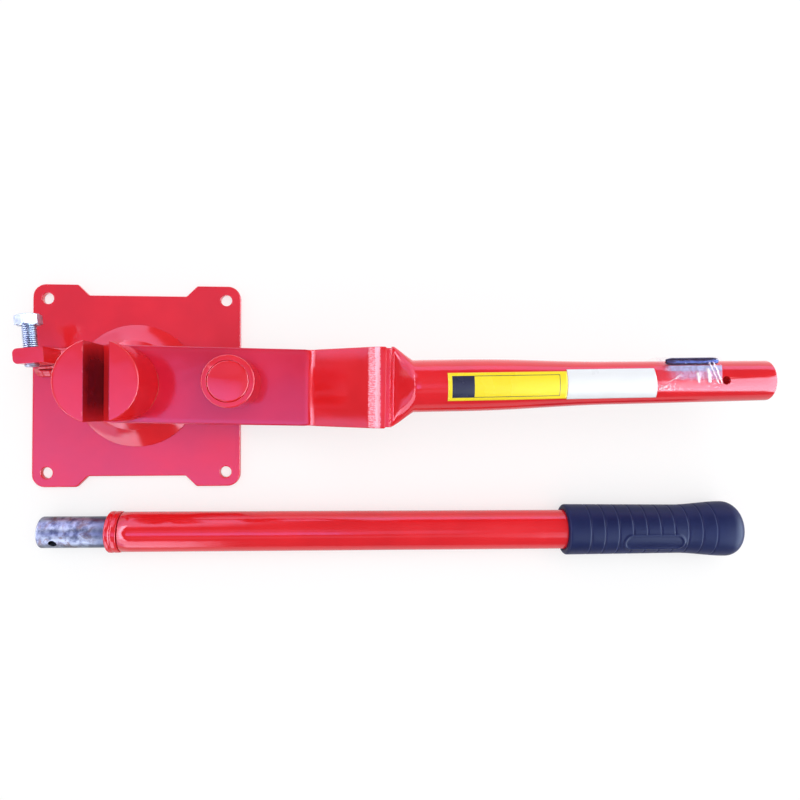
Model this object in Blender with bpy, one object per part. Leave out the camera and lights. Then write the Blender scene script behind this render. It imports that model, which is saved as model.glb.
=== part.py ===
"""Bench rebar bender: a slotted bending head on a bolt-down base, a swinging lever
with a roller, an adjustable stop bolt and a loose extension handle.

Blender 4.5, metres, +Z up. The origin is the middle of the base plate's underside,
straight below the pivot. +X runs along the lever, and +Y is the far side of the base.
"""
import math

import bmesh
import bpy

# Base plate: square, with a bolting tab at each corner
plate_length = 0.185
plate_width = 0.184
plate_thickness = 0.006
tab_length = 0.0393
tab_slope_length = 0.0098
tab_depth = 0.0097
plate_corner_radius = 0.0115
bolt_hole_diameter = 0.010
bolt_hole_inset = 0.013

# Pedestal, spindle and thrust washers
pedestal_foot_diameter = 0.111
pedestal_top_diameter = 0.080
pedestal_height = 0.014
spindle_diameter = 0.040
spindle_neck_diameter = 0.028
thrust_washer_thickness = 0.0015
thrust_washer_inset = 0.0005

# Bending head
head_diameter = 0.065
head_height = 0.0526
head_floor_thickness = 0.0109
head_socket_share = 0.64
slot_width = 0.0192
slot_offset = 0.0008
edge_chamfer = 0.001

# Lever bar with its hub
lever_yaw = math.radians(-1.0)
bar_width = 0.066
bar_thickness = 0.010
bar_flat_length = 0.1575
bar_ramp_run = 0.0535
bar_rise = 0.044
bar_shelf_length = 0.012
bar_bend_radius = 0.008
hub_height = 0.0193
hub_diameter = 0.058
hub_bush_wall = 0.004
hub_weld_leg = 0.0035

# Roller on its fixed pin
roller_distance = 0.0968
roller_side_offset = 0.0025
roller_diameter = 0.0424
roller_height = 0.0404
roller_float = 0.0006
roller_pin_diameter = 0.0334
roller_pin_rise = 0.001
roller_pin_foot = 0.004
roller_weld_leg = 0.0035
ring_groove_height = 0.002
ring_groove_depth = 0.0012
ring_groove_drop = 0.007

# Lever tube: pressed flat at its mouth, then swaged down to a socket
tube_yaw = math.radians(2.1)
tube_side_offset = 0.0011
tube_diameter = 0.0424
tube_waist_diameter = 0.0358
tube_socket_diameter = 0.0337
tube_wall = 0.0028
tube_length = 0.3175
mouth_width = 0.0666
mouth_thickness = 0.0074
mouth_length = 0.002
mouth_taper_length = 0.016
full_tube_length = 0.0635
swage_length = 0.120
cross_hole_diameter = 0.007
cross_hole_distance = 0.044
lever_weld_width = 0.0029
lever_weld_crown = 0.0009

# Foil labels, spare retaining pin and the clear film that tapes it on
foil_thickness = 0.0002
yellow_label_start = 0.0438
yellow_label_length = 0.0968
yellow_label_width = 0.0232
yellow_label_turn = math.radians(-5.5)
white_label_length = 0.0740
white_label_width = 0.0258
white_label_turn = math.radians(-4.0)
spare_pin_diameter = 0.006
spare_pin_length = 0.0454
spare_pin_wall = 0.001
spare_pin_turn = math.radians(51)
spare_pin_gap_turn = math.radians(24)
film_length = 0.053
film_lead = 0.010
film_near_turn = math.radians(-25)
film_far_lap = math.radians(14)

# Adjustable stop: foot bar, lug and bolt
stop_reach = 0.0835
stop_foot_side = 0.021
stop_foot_width = 0.014
stop_foot_height = 0.0187
stop_foot_weld_leg = 0.0062
lug_reach = 0.0712
lug_side = 0.023
lug_yaw = math.radians(5.3)
lug_length = 0.0245
lug_thickness = 0.013
lug_height = 0.0347
lug_corner_radius = 0.004
lug_weld_leg = 0.0022
bolt_diameter = 0.012
bolt_length = 0.035
bolt_head_flats = 0.019
bolt_head_height = 0.0075
bolt_collar_height = 0.0006
bolt_exposed_length = 0.0187
bolt_drop = 0.014
bolt_side_shift = 0.0034

# Extension handle, lying on the bench beside the base
handle_shoulder_x = -0.020
handle_side = -0.1305
handle_yaw = math.radians(-0.28)
handle_tube_diameter = 0.0355
handle_tube_wall = 0.0026
handle_tube_length = 0.558
spigot_length = 0.0575
spigot_root_length = 0.040
spigot_hole_turn = math.radians(37)
shoulder_length = 0.012
shoulder_diameter = 0.0368
grip_length = 0.166
grip_front_diameter = 0.046
grip_waist_diameter = 0.0446
grip_flare_diameter = 0.0505
grip_flare_length = 0.046
grip_lip_length = 0.014
grip_end_wall = 0.006
grip_round = 0.0025
grip_groove_start = 0.020
grip_groove_pitch = 0.0129
grip_groove_width = 0.0016
grip_groove_depth = 0.0006
grip_groove_count = 10
badge_length = 0.057
badge_width = 0.016
badge_middle = 0.0785
badge_stand = 0.0006
badge_turn = math.radians(-24)

# Fits
touch_gap = 0.0003
pivot_clearance = 0.0003
roller_clearance = 0.0005
spigot_clearance = 0.0003
pedestal_clearance = 0.0005
cut_overrun = 0.004

# Smoothness of round shapes
round_steps = 48
tube_steps = 32
hole_steps = 24
bend_steps = 5
bead_steps = 4
smooth_angle = math.radians(30)
bead_bulge_share = 0.82

# Colours of paint, zinc, steel, bronze, rubber, foil and film
enamel_red = (0.68, 0.012, 0.018, 1)
bright_zinc = (0.62, 0.68, 0.76, 1)
bare_steel = (0.30, 0.31, 0.36, 1)
blued_steel = (0.03, 0.04, 0.12, 1)
bearing_bronze = (0.50, 0.33, 0.13, 1)
grip_navy = (0.012, 0.016, 0.055, 1)
foil_yellow = (0.90, 0.62, 0.01, 1)
foil_white = (0.85, 0.85, 0.86, 1)
film_clear = (0.85, 0.80, 0.86, 1)

# Levels and places that follow from the sizes above
pedestal_base_z = plate_thickness + touch_gap
pedestal_top_z = pedestal_base_z + pedestal_height
lower_washer_z = pedestal_top_z + touch_gap
hub_base_z = lower_washer_z + thrust_washer_thickness + touch_gap
bar_base_z = hub_base_z + hub_height + touch_gap
bar_top_z = bar_base_z + bar_thickness
upper_washer_z = bar_top_z + touch_gap
head_base_z = upper_washer_z + thrust_washer_thickness + touch_gap
head_top_z = head_base_z + head_height
slot_floor_z = head_base_z + head_floor_thickness
spindle_top_z = head_base_z + head_floor_thickness * head_socket_share
pivot_bore = spindle_diameter + 2 * pivot_clearance
bush_diameter = pivot_bore + 2 * hub_bush_wall
hub_bore = bush_diameter + 2 * touch_gap
bar_end_x = bar_flat_length + bar_ramp_run + bar_shelf_length
tube_axis_z = bar_base_z + bar_thickness / 2 + bar_rise
mouth_x = bar_end_x + lever_weld_width + 2 * touch_gap
white_label_start = yellow_label_start + yellow_label_length
film_start = white_label_start + white_label_length + touch_gap
spare_pin_start = film_start + film_lead
roller_base_z = bar_top_z + roller_float
roller_top_z = roller_base_z + roller_height
roller_pin_top_z = roller_top_z + roller_pin_rise
ring_groove_low = roller_top_z - ring_groove_drop
ring_groove_high = ring_groove_low + ring_groove_height
stop_foot_z = plate_thickness + touch_gap
stop_foot_top_z = stop_foot_z + stop_foot_height
lug_z = stop_foot_top_z + touch_gap
bolt_axis_z = lug_z + lug_height - bolt_drop
spigot_diameter = tube_socket_diameter - 2 * tube_wall - 2 * spigot_clearance
handle_tube_start = shoulder_length + touch_gap
handle_tube_end = handle_tube_start + handle_tube_length
grip_end = handle_tube_end + touch_gap + grip_end_wall
grip_start = grip_end - grip_length


def clear_scene():
    for old in list(bpy.data.objects):
        bpy.data.objects.remove(old, do_unlink=True)


def make_material(name, colour, roughness, metallic, alpha=1.0):
    material = bpy.data.materials.new(name)
    material.use_nodes = True
    shader = material.node_tree.nodes["Principled BSDF"]
    shader.inputs["Base Color"].default_value = colour
    shader.inputs["Roughness"].default_value = roughness
    shader.inputs["Metallic"].default_value = metallic
    shader.inputs["Alpha"].default_value = alpha
    return material


def add_axis(name, place, turn=(0, 0, 0), parent=None):
    """An empty that carries the pieces built about one axis."""
    axis = bpy.data.objects.new(name, None)
    bpy.context.scene.collection.objects.link(axis)
    axis.parent = parent
    axis.location = place
    axis.rotation_euler = turn
    return axis


def add_object(name, bm, material=None, parent=None, place=(0, 0, 0), turn=(0, 0, 0)):
    """Turn a bmesh into a named object whose faces point out."""
    bmesh.ops.recalc_face_normals(bm, faces=bm.faces)
    mesh = bpy.data.meshes.new(name)
    bm.to_mesh(mesh)
    bm.free()
    mesh.shade_smooth()
    mesh.set_sharp_from_angle(angle=smooth_angle)
    if material:
        mesh.materials.append(material)
    thing = bpy.data.objects.new(name, mesh)
    bpy.context.scene.collection.objects.link(thing)
    thing.parent = parent
    thing.location = place
    thing.rotation_euler = turn
    return thing


def shape_with(thing, cutter, operation="DIFFERENCE"):
    """Let a hidden cutter work on a piece."""
    cutter.hide_render = True
    cutter.display_type = "WIRE"
    step = thing.modifiers.new(cutter.name, "BOOLEAN")
    step.operation = operation
    step.solver = "EXACT"
    step.object = cutter


def mix(first, second, share):
    return first + (second - first) * share


def ease(share):
    return share * share * (3 - 2 * share)


def around(radius, turn):
    """Side and rise of a point round a lying axis, turned from the top towards +Y."""
    return radius * math.sin(turn), radius * math.cos(turn)


def arc(centre, radius, start, end, steps):
    """Points on an arc, both ends included."""
    points = []
    for i in range(steps + 1):
        turn = mix(start, end, i / steps)
        points.append((centre[0] + radius * math.cos(turn), centre[1] + radius * math.sin(turn)))
    return points


def skin(rings, closed=False):
    """Join rings of points into one closed skin, capped unless it closes on itself."""
    bm = bmesh.new()
    rows = [[bm.verts.new(point) for point in ring] for ring in rings]
    pairs = list(zip(rows, rows[1:]))
    if closed:
        pairs.append((rows[-1], rows[0]))
    else:
        bm.faces.new(rows[0])
        bm.faces.new(rows[-1])
    for near, far in pairs:
        for i, point in enumerate(near):
            j = (i + 1) % len(near)
            bm.faces.new((point, near[j], far[j], far[i]))
    return bm


def sheet(outer_rows, inner_rows):
    """A closed body between two matching grids of points."""
    bm = bmesh.new()
    outer = [[bm.verts.new(point) for point in row] for row in outer_rows]
    inner = [[bm.verts.new(point) for point in row] for row in inner_rows]
    for grid in (outer, inner):
        for near, far in zip(grid, grid[1:]):
            for i in range(len(near) - 1):
                bm.faces.new((near[i], near[i + 1], far[i + 1], far[i]))
    for over, under in ((outer[0], inner[0]), (outer[-1], inner[-1])):
        for i in range(len(over) - 1):
            bm.faces.new((over[i], over[i + 1], under[i + 1], under[i]))
    for k in range(len(outer) - 1):
        for i in (0, -1):
            bm.faces.new((outer[k][i], outer[k + 1][i], inner[k + 1][i], inner[k][i]))
    return bm


def lathe(profile, steps=round_steps, lying=False):
    """Turn a profile of (radius, distance) about Z, or about X for a lying piece.

    A profile that starts on the axis makes a solid. Any other one is a closed loop.
    """
    rings = []
    for radius, distance in profile:
        if radius == 0:
            continue
        ring = []
        for i in range(steps):
            side, rise = around(radius, 2 * math.pi * i / steps)
            ring.append((distance, side, rise) if lying else (rise, side, distance))
        rings.append(ring)
    return skin(rings, closed=profile[0][0] != 0)


def rod(diameter, low, high, steps=hole_steps):
    return lathe([(0, low), (diameter / 2, low), (diameter / 2, high), (0, high)], steps)


def collar(outer, inner, low, high):
    """A plain ring."""
    return lathe([(inner / 2, low), (outer / 2, low), (outer / 2, high), (inner / 2, high)])


def prism(outline, low, high):
    """Raise a plan outline from one level to another."""
    return skin([[(x, y, level) for x, y in outline] for level in (low, high)])


def bead_profile(leg):
    """A bulged weld bead as (out, up) from the corner that it fills."""
    points = [(0, 0)]
    for i in range(bead_steps + 1):
        turn = math.pi / 2 * i / bead_steps
        reach = leg * mix(bead_bulge_share, 1, abs(math.cos(2 * turn)))
        points.append((reach * math.cos(turn), reach * math.sin(turn)))
    return points


def bead_ring(diameter, level, leg):
    """A bead round a cylinder, hanging under a level face."""
    radius = diameter / 2 + touch_gap
    return lathe([(radius + out, level - touch_gap - up) for out, up in bead_profile(leg)])


def bead_run(stations, level, leg):
    """A bead that follows stations of (x, y, outward turn) along the foot of a bar."""
    rings = []
    for x, y, turn in stations:
        ring = []
        for out, up in bead_profile(leg):
            reach = touch_gap + out
            ring.append((x + reach * math.cos(turn), y + reach * math.sin(turn), level + up))
        rings.append(ring)
    return skin(rings)


def corner(x, y, start, end):
    """Bead stations that swing round one corner."""
    return [(x, y, mix(start, end, i / bead_steps)) for i in range(bead_steps + 1)]


def build_base(red):
    """The base plate with its four bolt holes."""
    half_x = plate_length / 2
    half_y = plate_width / 2
    tab_x = half_x - tab_length
    middle = (half_x - plate_corner_radius, half_y - plate_corner_radius)
    right = arc(middle, plate_corner_radius, 0, math.pi / 2, bend_steps)
    right += [(tab_x, half_y), (tab_x - tab_slope_length, half_y - tab_depth)]
    far = right + [(-x, y) for x, y in reversed(right)]
    outline = far + [(x, -y) for x, y in reversed(far)]
    plate = add_object("base_plate", prism(outline, 0, plate_thickness), red)
    for side_x in (-1, 1):
        for side_y in (-1, 1):
            hole = rod(bolt_hole_diameter, -cut_overrun, plate_thickness + cut_overrun)
            place = (side_x * (half_x - bolt_hole_inset), side_y * (half_y - bolt_hole_inset), 0)
            shape_with(plate, add_object("bolt_hole", hole, place=place))


def build_pivot(red, steel, bronze):
    """Pedestal, spindle, thrust washers and the slotted bending head."""
    bore = pivot_bore / 2
    foot = pedestal_foot_diameter / 2
    top = pedestal_top_diameter / 2
    pedestal = [(bore, pedestal_base_z), (foot, pedestal_base_z),
                (top, pedestal_top_z), (bore, pedestal_top_z)]
    add_object("pedestal", lathe(pedestal), red)

    body = spindle_diameter / 2
    neck = spindle_neck_diameter / 2
    shoulder_z = head_base_z - touch_gap
    spindle = [(0, pedestal_base_z), (body, pedestal_base_z), (body, shoulder_z),
               (neck, shoulder_z), (neck, spindle_top_z), (0, spindle_top_z)]
    add_object("spindle", lathe(spindle), steel)

    washer_top_z = lower_washer_z + thrust_washer_thickness
    lower = collar(hub_diameter, pivot_bore, lower_washer_z, washer_top_z)
    add_object("lower_thrust_washer", lower, bronze)
    washer_top_z = upper_washer_z + thrust_washer_thickness
    upper = collar(head_diameter - 2 * thrust_washer_inset, pivot_bore, upper_washer_z, washer_top_z)
    add_object("upper_thrust_washer", upper, bronze)

    rim = head_diameter / 2
    socket = neck + touch_gap
    socket_z = spindle_top_z + touch_gap
    outline = [(0, socket_z), (socket, socket_z), (socket, head_base_z), (rim, head_base_z),
               (rim, head_top_z - edge_chamfer), (rim - edge_chamfer, head_top_z), (0, head_top_z)]
    head = add_object("bending_head", lathe(outline), red)
    half = slot_width / 2
    flare = half + edge_chamfer + cut_overrun
    section = [(-half, slot_floor_z), (half, slot_floor_z), (half, head_top_z - edge_chamfer),
               (flare, head_top_z + cut_overrun), (-flare, head_top_z + cut_overrun),
               (-half, head_top_z - edge_chamfer)]
    slot = skin([[(x, y, z) for x, z in section] for y in (-head_diameter, head_diameter)])
    shape_with(head, add_object("head_slot", slot, place=(slot_offset, 0, 0)))


def build_bar(red, lever):
    """The cranked flat bar with its rounded eye."""
    lean = math.atan2(bar_rise, bar_ramp_run)
    half = bar_thickness / 2
    radius = bar_bend_radius + half
    low_z = bar_base_z + half
    first_x = bar_flat_length + (half - radius) * math.tan(lean / 2)
    second_x = first_x + bar_ramp_run + 2 * radius * math.tan(lean / 2)
    stations = [(-bar_width, low_z, 0)]
    for i in range(bend_steps + 1):
        turn = lean * i / bend_steps
        rise = radius * (1 - math.cos(turn))
        stations.append((first_x + radius * math.sin(turn), low_z + rise, turn))
    for i in range(bend_steps + 1):
        turn = lean * (1 - i / bend_steps)
        drop = radius * (1 - math.cos(turn))
        stations.append((second_x - radius * math.sin(turn), tube_axis_z - drop, turn))
    stations.append((bar_end_x, tube_axis_z, 0))
    rings = []
    for x, z, turn in stations:
        out_x = half * math.sin(turn)
        out_z = half * math.cos(turn)
        rings.append([(x - out_x, -bar_width, z + out_z), (x - out_x, bar_width, z + out_z),
                      (x + out_x, bar_width, z - out_z), (x + out_x, -bar_width, z - out_z)])
    bar = add_object("lever_bar", skin(rings), red, lever)

    eye = arc((0, 0), bar_width / 2, math.pi / 2, 3 * math.pi / 2, tube_steps)
    reach = bar_end_x + cut_overrun
    plan = eye + [(reach, -bar_width / 2), (reach, bar_width / 2)]
    low = bar_base_z - cut_overrun
    trim = add_object("bar_plan", prism(plan, low, tube_axis_z + bar_thickness), parent=lever)
    shape_with(bar, trim, "INTERSECT")
    high = bar_top_z + cut_overrun
    hub_hole = add_object("hub_hole", rod(hub_bore, low, high, round_steps), parent=lever)
    shape_with(bar, hub_hole)
    pin_hole = rod(roller_pin_diameter + 2 * touch_gap, low, high, round_steps)
    pin_place = (roller_distance, roller_side_offset, 0)
    shape_with(bar, add_object("roller_pin_hole", pin_hole, parent=lever, place=pin_place))


def build_hub(red, bronze, lever):
    """Sleeve and bush of the lever's pivot, with the weld that holds the sleeve."""
    sleeve = collar(hub_diameter, hub_bore, hub_base_z, hub_base_z + hub_height)
    add_object("hub_sleeve", sleeve, red, lever)
    add_object("hub_bush", collar(bush_diameter, pivot_bore, hub_base_z, bar_top_z), bronze, lever)
    add_object("hub_weld", bead_ring(hub_diameter, bar_base_z, hub_weld_leg), red, lever)


def build_roller(red, steel, lever):
    """Roller, its welded pin and the ring that keeps it on."""
    roller_axis = add_axis("roller_axis", (roller_distance, roller_side_offset, 0), parent=lever)
    pin = roller_pin_diameter / 2
    pin_groove = pin - ring_groove_depth
    foot_z = bar_base_z - roller_pin_foot
    outline = [(0, foot_z), (pin, foot_z), (pin, ring_groove_low), (pin_groove, ring_groove_low),
               (pin_groove, ring_groove_high), (pin, ring_groove_high),
               (pin, roller_pin_top_z - edge_chamfer), (pin - edge_chamfer, roller_pin_top_z),
               (0, roller_pin_top_z)]
    add_object("roller_pin", lathe(outline), red, roller_axis)
    weld = bead_ring(roller_pin_diameter, bar_base_z, roller_weld_leg)
    add_object("roller_pin_weld", weld, red, roller_axis)

    bore = pin + roller_clearance
    sleeve_groove = bore + ring_groove_depth
    face = roller_diameter / 2
    outline = [(bore, roller_base_z), (face - edge_chamfer, roller_base_z),
               (face, roller_base_z + edge_chamfer), (face, roller_top_z - edge_chamfer),
               (face - edge_chamfer, roller_top_z), (bore, roller_top_z),
               (bore, ring_groove_high), (sleeve_groove, ring_groove_high),
               (sleeve_groove, ring_groove_low), (bore, ring_groove_low)]
    add_object("roller_sleeve", lathe(outline), red, roller_axis)
    ring = collar(2 * (sleeve_groove - touch_gap), 2 * (pin_groove + touch_gap),
                  ring_groove_low + touch_gap, ring_groove_high - touch_gap)
    add_object("roller_retaining_ring", ring, steel, roller_axis)


def tube_radius(x):
    """Outer radius of the lever tube, past its pressed mouth."""
    swage_end = full_tube_length + swage_length
    if x < full_tube_length:
        return tube_diameter / 2
    if x < swage_end:
        share = ease((x - full_tube_length) / swage_length)
        return mix(tube_diameter, tube_waist_diameter, share) / 2
    share = (x - swage_end) / (tube_length - swage_end)
    return mix(tube_waist_diameter, tube_socket_diameter, share) / 2


def tube_ring(x, width, height, shear=0):
    """Points evenly spaced round a pressed tube, with the ring leaned by the shear."""
    straight = width - height
    quarter = math.pi * height / 4
    points = []
    for i in range(tube_steps):
        along = (2 * straight + 4 * quarter) * i / tube_steps
        if along < quarter:
            side, rise = around(height / 2, math.pi / 2 - 2 * along / height)
            side += straight / 2
        elif along < quarter + straight:
            side = straight / 2 - (along - quarter)
            rise = height / 2
        elif along < 3 * quarter + straight:
            side, rise = around(height / 2, -2 * (along - quarter - straight) / height)
            side -= straight / 2
        elif along < 3 * quarter + 2 * straight:
            side = along - 3 * quarter - 3 * straight / 2
            rise = -height / 2
        else:
            past = along - 3 * quarter - 2 * straight
            side, rise = around(height / 2, math.pi - 2 * past / height)
            side += straight / 2
        points.append((x + side * shear, side, rise))
    return points


def build_tube(red, tube):
    """The lever tube, open at its far end to take the extension handle."""
    square = math.tan(tube_yaw)
    taper_steps = 2 * bend_steps
    rings = [tube_ring(0, mouth_width, mouth_thickness, square)]
    for i in range(taper_steps + 1):
        share = i / taper_steps
        width = mix(mouth_width, tube_diameter, ease(share))
        height = mix(mouth_thickness, tube_diameter, ease(share))
        x = mouth_length + mouth_taper_length * share
        rings.append(tube_ring(x, width, height, square * (1 - share)))
    stations = []
    for i in range(taper_steps + 1):
        stations.append(full_tube_length + swage_length * i / taper_steps)
    stations.append(tube_length)
    for x in stations:
        rings.append(tube_ring(x, 2 * tube_radius(x), 2 * tube_radius(x)))
    cavity_x = mouth_length + mouth_taper_length + tube_wall
    for x in reversed([cavity_x] + stations):
        bore = 2 * (tube_radius(x) - tube_wall)
        rings.append(tube_ring(x, bore, bore))
    body = add_object("lever_tube", skin(rings), red, tube)
    hole = rod(cross_hole_diameter, -tube_diameter, tube_diameter)
    place = (tube_length - cross_hole_distance, 0, 0)
    shape_with(body, add_object("cross_hole", hole, parent=tube, place=place))


def build_lever_weld(red, lever):
    """The butt weld between the bar's end and the pressed mouth of the tube."""
    half_width = bar_width / 2
    rings = []
    for i in range(bead_steps + 1):
        share = i / bead_steps
        crown = lever_weld_crown * math.sin(math.pi * share)
        half = mix(bar_thickness, mouth_thickness, share) / 2 + crown
        x = bar_end_x + touch_gap + lever_weld_width * share
        rings.append([(x, -half_width, tube_axis_z - half), (x, half_width, tube_axis_z - half),
                      (x, half_width, tube_axis_z + half), (x, -half_width, tube_axis_z + half)])
    add_object("lever_weld", skin(rings), red, lever)


def build_label(name, start, length, width, turn, foil, tube):
    """A foil label wrapped over the top of the lever tube."""
    row_steps = 2 * bend_steps
    over = []
    under = []
    for k in range(row_steps + 1):
        x = start + length * k / row_steps
        radius = tube_radius(x) + touch_gap
        half = width / 2 / radius
        turns = [mix(turn - half, turn + half, i / row_steps) for i in range(row_steps + 1)]
        over.append([(x, *around(radius + foil_thickness, one)) for one in turns])
        under.append([(x, *around(radius, one)) for one in turns])
    add_object(name, sheet(over, under), foil, tube)


def film_row(x, lift, reach):
    """One row of the film: over the tube, across to the spare pin, round it and back."""
    tube_out = tube_radius(x) + lift
    pin_out = spare_pin_diameter / 2 + lift
    half_turn = math.acos((tube_out - pin_out) / reach)
    first = spare_pin_turn - half_turn
    last = spare_pin_turn + half_turn
    pin_side, pin_rise = around(reach, spare_pin_turn)
    row = []
    for i in range(bend_steps + 1):
        row.append((x, *around(tube_out, mix(film_near_turn, first, i / bend_steps))))
    for i in range(bend_steps + 1):
        side, rise = around(pin_out, mix(first, last, i / bend_steps))
        row.append((x, pin_side + side, pin_rise + rise))
    for i in range(bend_steps + 1):
        row.append((x, *around(tube_out, mix(last, last + film_far_lap, i / bend_steps))))
    return row


def build_spare_pin(blued, film, tube):
    """The split spring pin for the handle, taped to the side of the lever tube."""
    pin = spare_pin_diameter / 2
    reach = tube_radius(spare_pin_start) + pin + touch_gap
    half_gap = spare_pin_gap_turn / 2
    turns = []
    for i in range(hole_steps + 1):
        turns.append(mix(half_gap, 2 * math.pi - half_gap, i / hole_steps))
    over = []
    under = []
    for x in (spare_pin_start, spare_pin_start + spare_pin_length):
        over.append([(x, *around(pin, turn)) for turn in turns])
        under.append([(x, *around(pin - spare_pin_wall, turn)) for turn in turns])
    place = (0, *around(reach, spare_pin_turn))
    add_object("spare_pin", sheet(over, under), blued, tube, place)

    outer = []
    inner = []
    for i in range(2 * bend_steps + 1):
        x = film_start + film_length * i / (2 * bend_steps)
        outer.append(film_row(x, touch_gap + foil_thickness, reach))
        inner.append(film_row(x, touch_gap, reach))
    add_object("clear_film", sheet(outer, inner), film, tube)


def build_stop_foot(red):
    """Foot bar of the adjustable stop, welded to the plate and fitted to the pedestal."""
    inside_x = -pedestal_top_diameter / 4
    near_y = stop_foot_side - stop_foot_width / 2
    far_y = stop_foot_side + stop_foot_width / 2
    plan = [(-stop_reach, near_y), (inside_x, near_y), (inside_x, far_y), (-stop_reach, far_y)]
    foot = add_object("stop_foot", prism(plan, stop_foot_z, stop_foot_top_z), red)
    stations = [(inside_x, far_y, math.pi / 2)]
    stations += corner(-stop_reach, far_y, math.pi / 2, math.pi)
    stations += corner(-stop_reach, near_y, math.pi, 3 * math.pi / 2)
    stations.append((inside_x, near_y, 3 * math.pi / 2))
    weld = add_object("stop_foot_weld", bead_run(stations, stop_foot_z, stop_foot_weld_leg), red)

    wide = pedestal_foot_diameter / 2 + pedestal_clearance
    narrow = pedestal_top_diameter / 2 + pedestal_clearance
    room_top_z = stop_foot_top_z + cut_overrun
    outline = [(0, 0), (wide, 0), (wide, pedestal_base_z), (narrow, pedestal_top_z),
               (narrow, room_top_z), (0, room_top_z)]
    pedestal_room = add_object("pedestal_room", lathe(outline))
    shape_with(foot, pedestal_room)
    shape_with(weld, pedestal_room)


def bolt_ring(radius, z, six_sided=False):
    """One ring of the stop bolt, round or hexagonal."""
    ring = []
    for i in range(hole_steps):
        turn = 2 * math.pi * i / hole_steps
        from_flat = (turn + math.pi / 6) % (math.pi / 3) - math.pi / 6
        out = radius / math.cos(from_flat) if six_sided else radius
        ring.append((out * math.cos(turn), out * math.sin(turn), z))
    return ring


def build_lug(red, zinc):
    """The lug with its stop bolt, which screws in towards the lever."""
    stop = add_axis("stop_axis", (-lug_reach, lug_side, 0), (0, 0, lug_yaw))
    half_x = lug_length / 2
    half_y = lug_thickness / 2
    round_x = lug_corner_radius - half_x
    round_y = half_y - lug_corner_radius
    outline = [(half_x, -half_y), (half_x, half_y)]
    outline += arc((round_x, round_y), lug_corner_radius, math.pi / 2, math.pi, bend_steps)
    outline += arc((round_x, -round_y), lug_corner_radius, math.pi, 3 * math.pi / 2, bend_steps)
    lug = add_object("stop_lug", prism(outline, lug_z, lug_z + lug_height), red, stop)
    stations = [(round_x, -half_y, -math.pi / 2)]
    stations += corner(half_x, -half_y, -math.pi / 2, 0)
    stations.append((half_x, half_y - lug_weld_leg, 0))
    add_object("stop_lug_weld", bead_run(stations, lug_z, lug_weld_leg), red, stop)

    bolt_axis = add_axis("bolt_axis", (-bolt_side_shift, 0, bolt_axis_z), (-math.pi / 2, 0, 0), stop)
    hole = rod(bolt_diameter + 2 * touch_gap, -lug_thickness, lug_thickness)
    shape_with(lug, add_object("stop_bolt_hole", hole, parent=bolt_axis))

    shank = bolt_diameter / 2
    flats = bolt_head_flats / 2
    collar_radius = flats - bolt_collar_height
    rings = [bolt_ring(shank - edge_chamfer, -bolt_length),
             bolt_ring(shank, edge_chamfer - bolt_length),
             bolt_ring(shank, 0),
             bolt_ring(collar_radius, 0),
             bolt_ring(collar_radius, bolt_collar_height),
             bolt_ring(flats, bolt_collar_height, six_sided=True),
             bolt_ring(flats, bolt_head_height - edge_chamfer, six_sided=True),
             bolt_ring(collar_radius, bolt_head_height)]
    place = (0, 0, half_y + bolt_exposed_length)
    add_object("stop_bolt", skin(rings), zinc, bolt_axis, place)


def grip_radius(along):
    """Outer radius of the grip, measured from its open front end."""
    flare_start = grip_length - grip_lip_length - grip_flare_length
    if along < flare_start:
        return mix(grip_front_diameter, grip_waist_diameter, along / flare_start) / 2
    share = min((along - flare_start) / grip_flare_length, 1)
    return mix(grip_waist_diameter, grip_flare_diameter, ease(share)) / 2


def grip_outline():
    """Outline of the grip: blind bore, open front, ring grooves and flared end."""
    bore = handle_tube_diameter / 2 + touch_gap
    bore_end = handle_tube_end + touch_gap
    outline = [(0, bore_end), (bore, bore_end), (bore, grip_start)]
    middle = (grip_round, grip_radius(0) - grip_round)
    for along, radius in arc(middle, grip_round, math.pi, math.pi / 2, bend_steps):
        outline.append((radius, grip_start + along))
    half = grip_groove_width / 2
    for i in range(grip_groove_count):
        groove = grip_groove_start + grip_groove_pitch * i
        for step, depth in ((-half, 0), (-half / 2, grip_groove_depth),
                            (half / 2, grip_groove_depth), (half, 0)):
            outline.append((grip_radius(groove + step) - depth, grip_start + groove + step))
    middle = (grip_length - grip_lip_length, grip_flare_diameter / 2 - grip_lip_length)
    for along, radius in arc(middle, grip_lip_length, math.pi / 2, 0, 2 * bend_steps):
        outline.append((radius, grip_start + along))
    outline.append((0, grip_end))
    return outline


def badge_rows(stand):
    """Rows of points over the raised blank panel of the grip, at one stand-off."""
    row_steps = 2 * bend_steps
    half = badge_width / 2
    straight = badge_length / 2 - half
    steps = []
    for i in range(1, row_steps + 1):
        turn = math.pi / 2 * i / row_steps
        steps.append((-straight - half * math.cos(turn), half * math.sin(turn)))
    steps += [(-along, reach) for along, reach in reversed(steps)]
    rows = []
    for along, reach in steps:
        radius = grip_radius(badge_middle + along) + stand
        sweep = 2 * reach / grip_waist_diameter
        row = []
        for i in range(row_steps + 1):
            turn = badge_turn + mix(-sweep, sweep, i / row_steps)
            row.append((grip_start + badge_middle + along, *around(radius, turn)))
        rows.append(row)
    return rows


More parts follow.
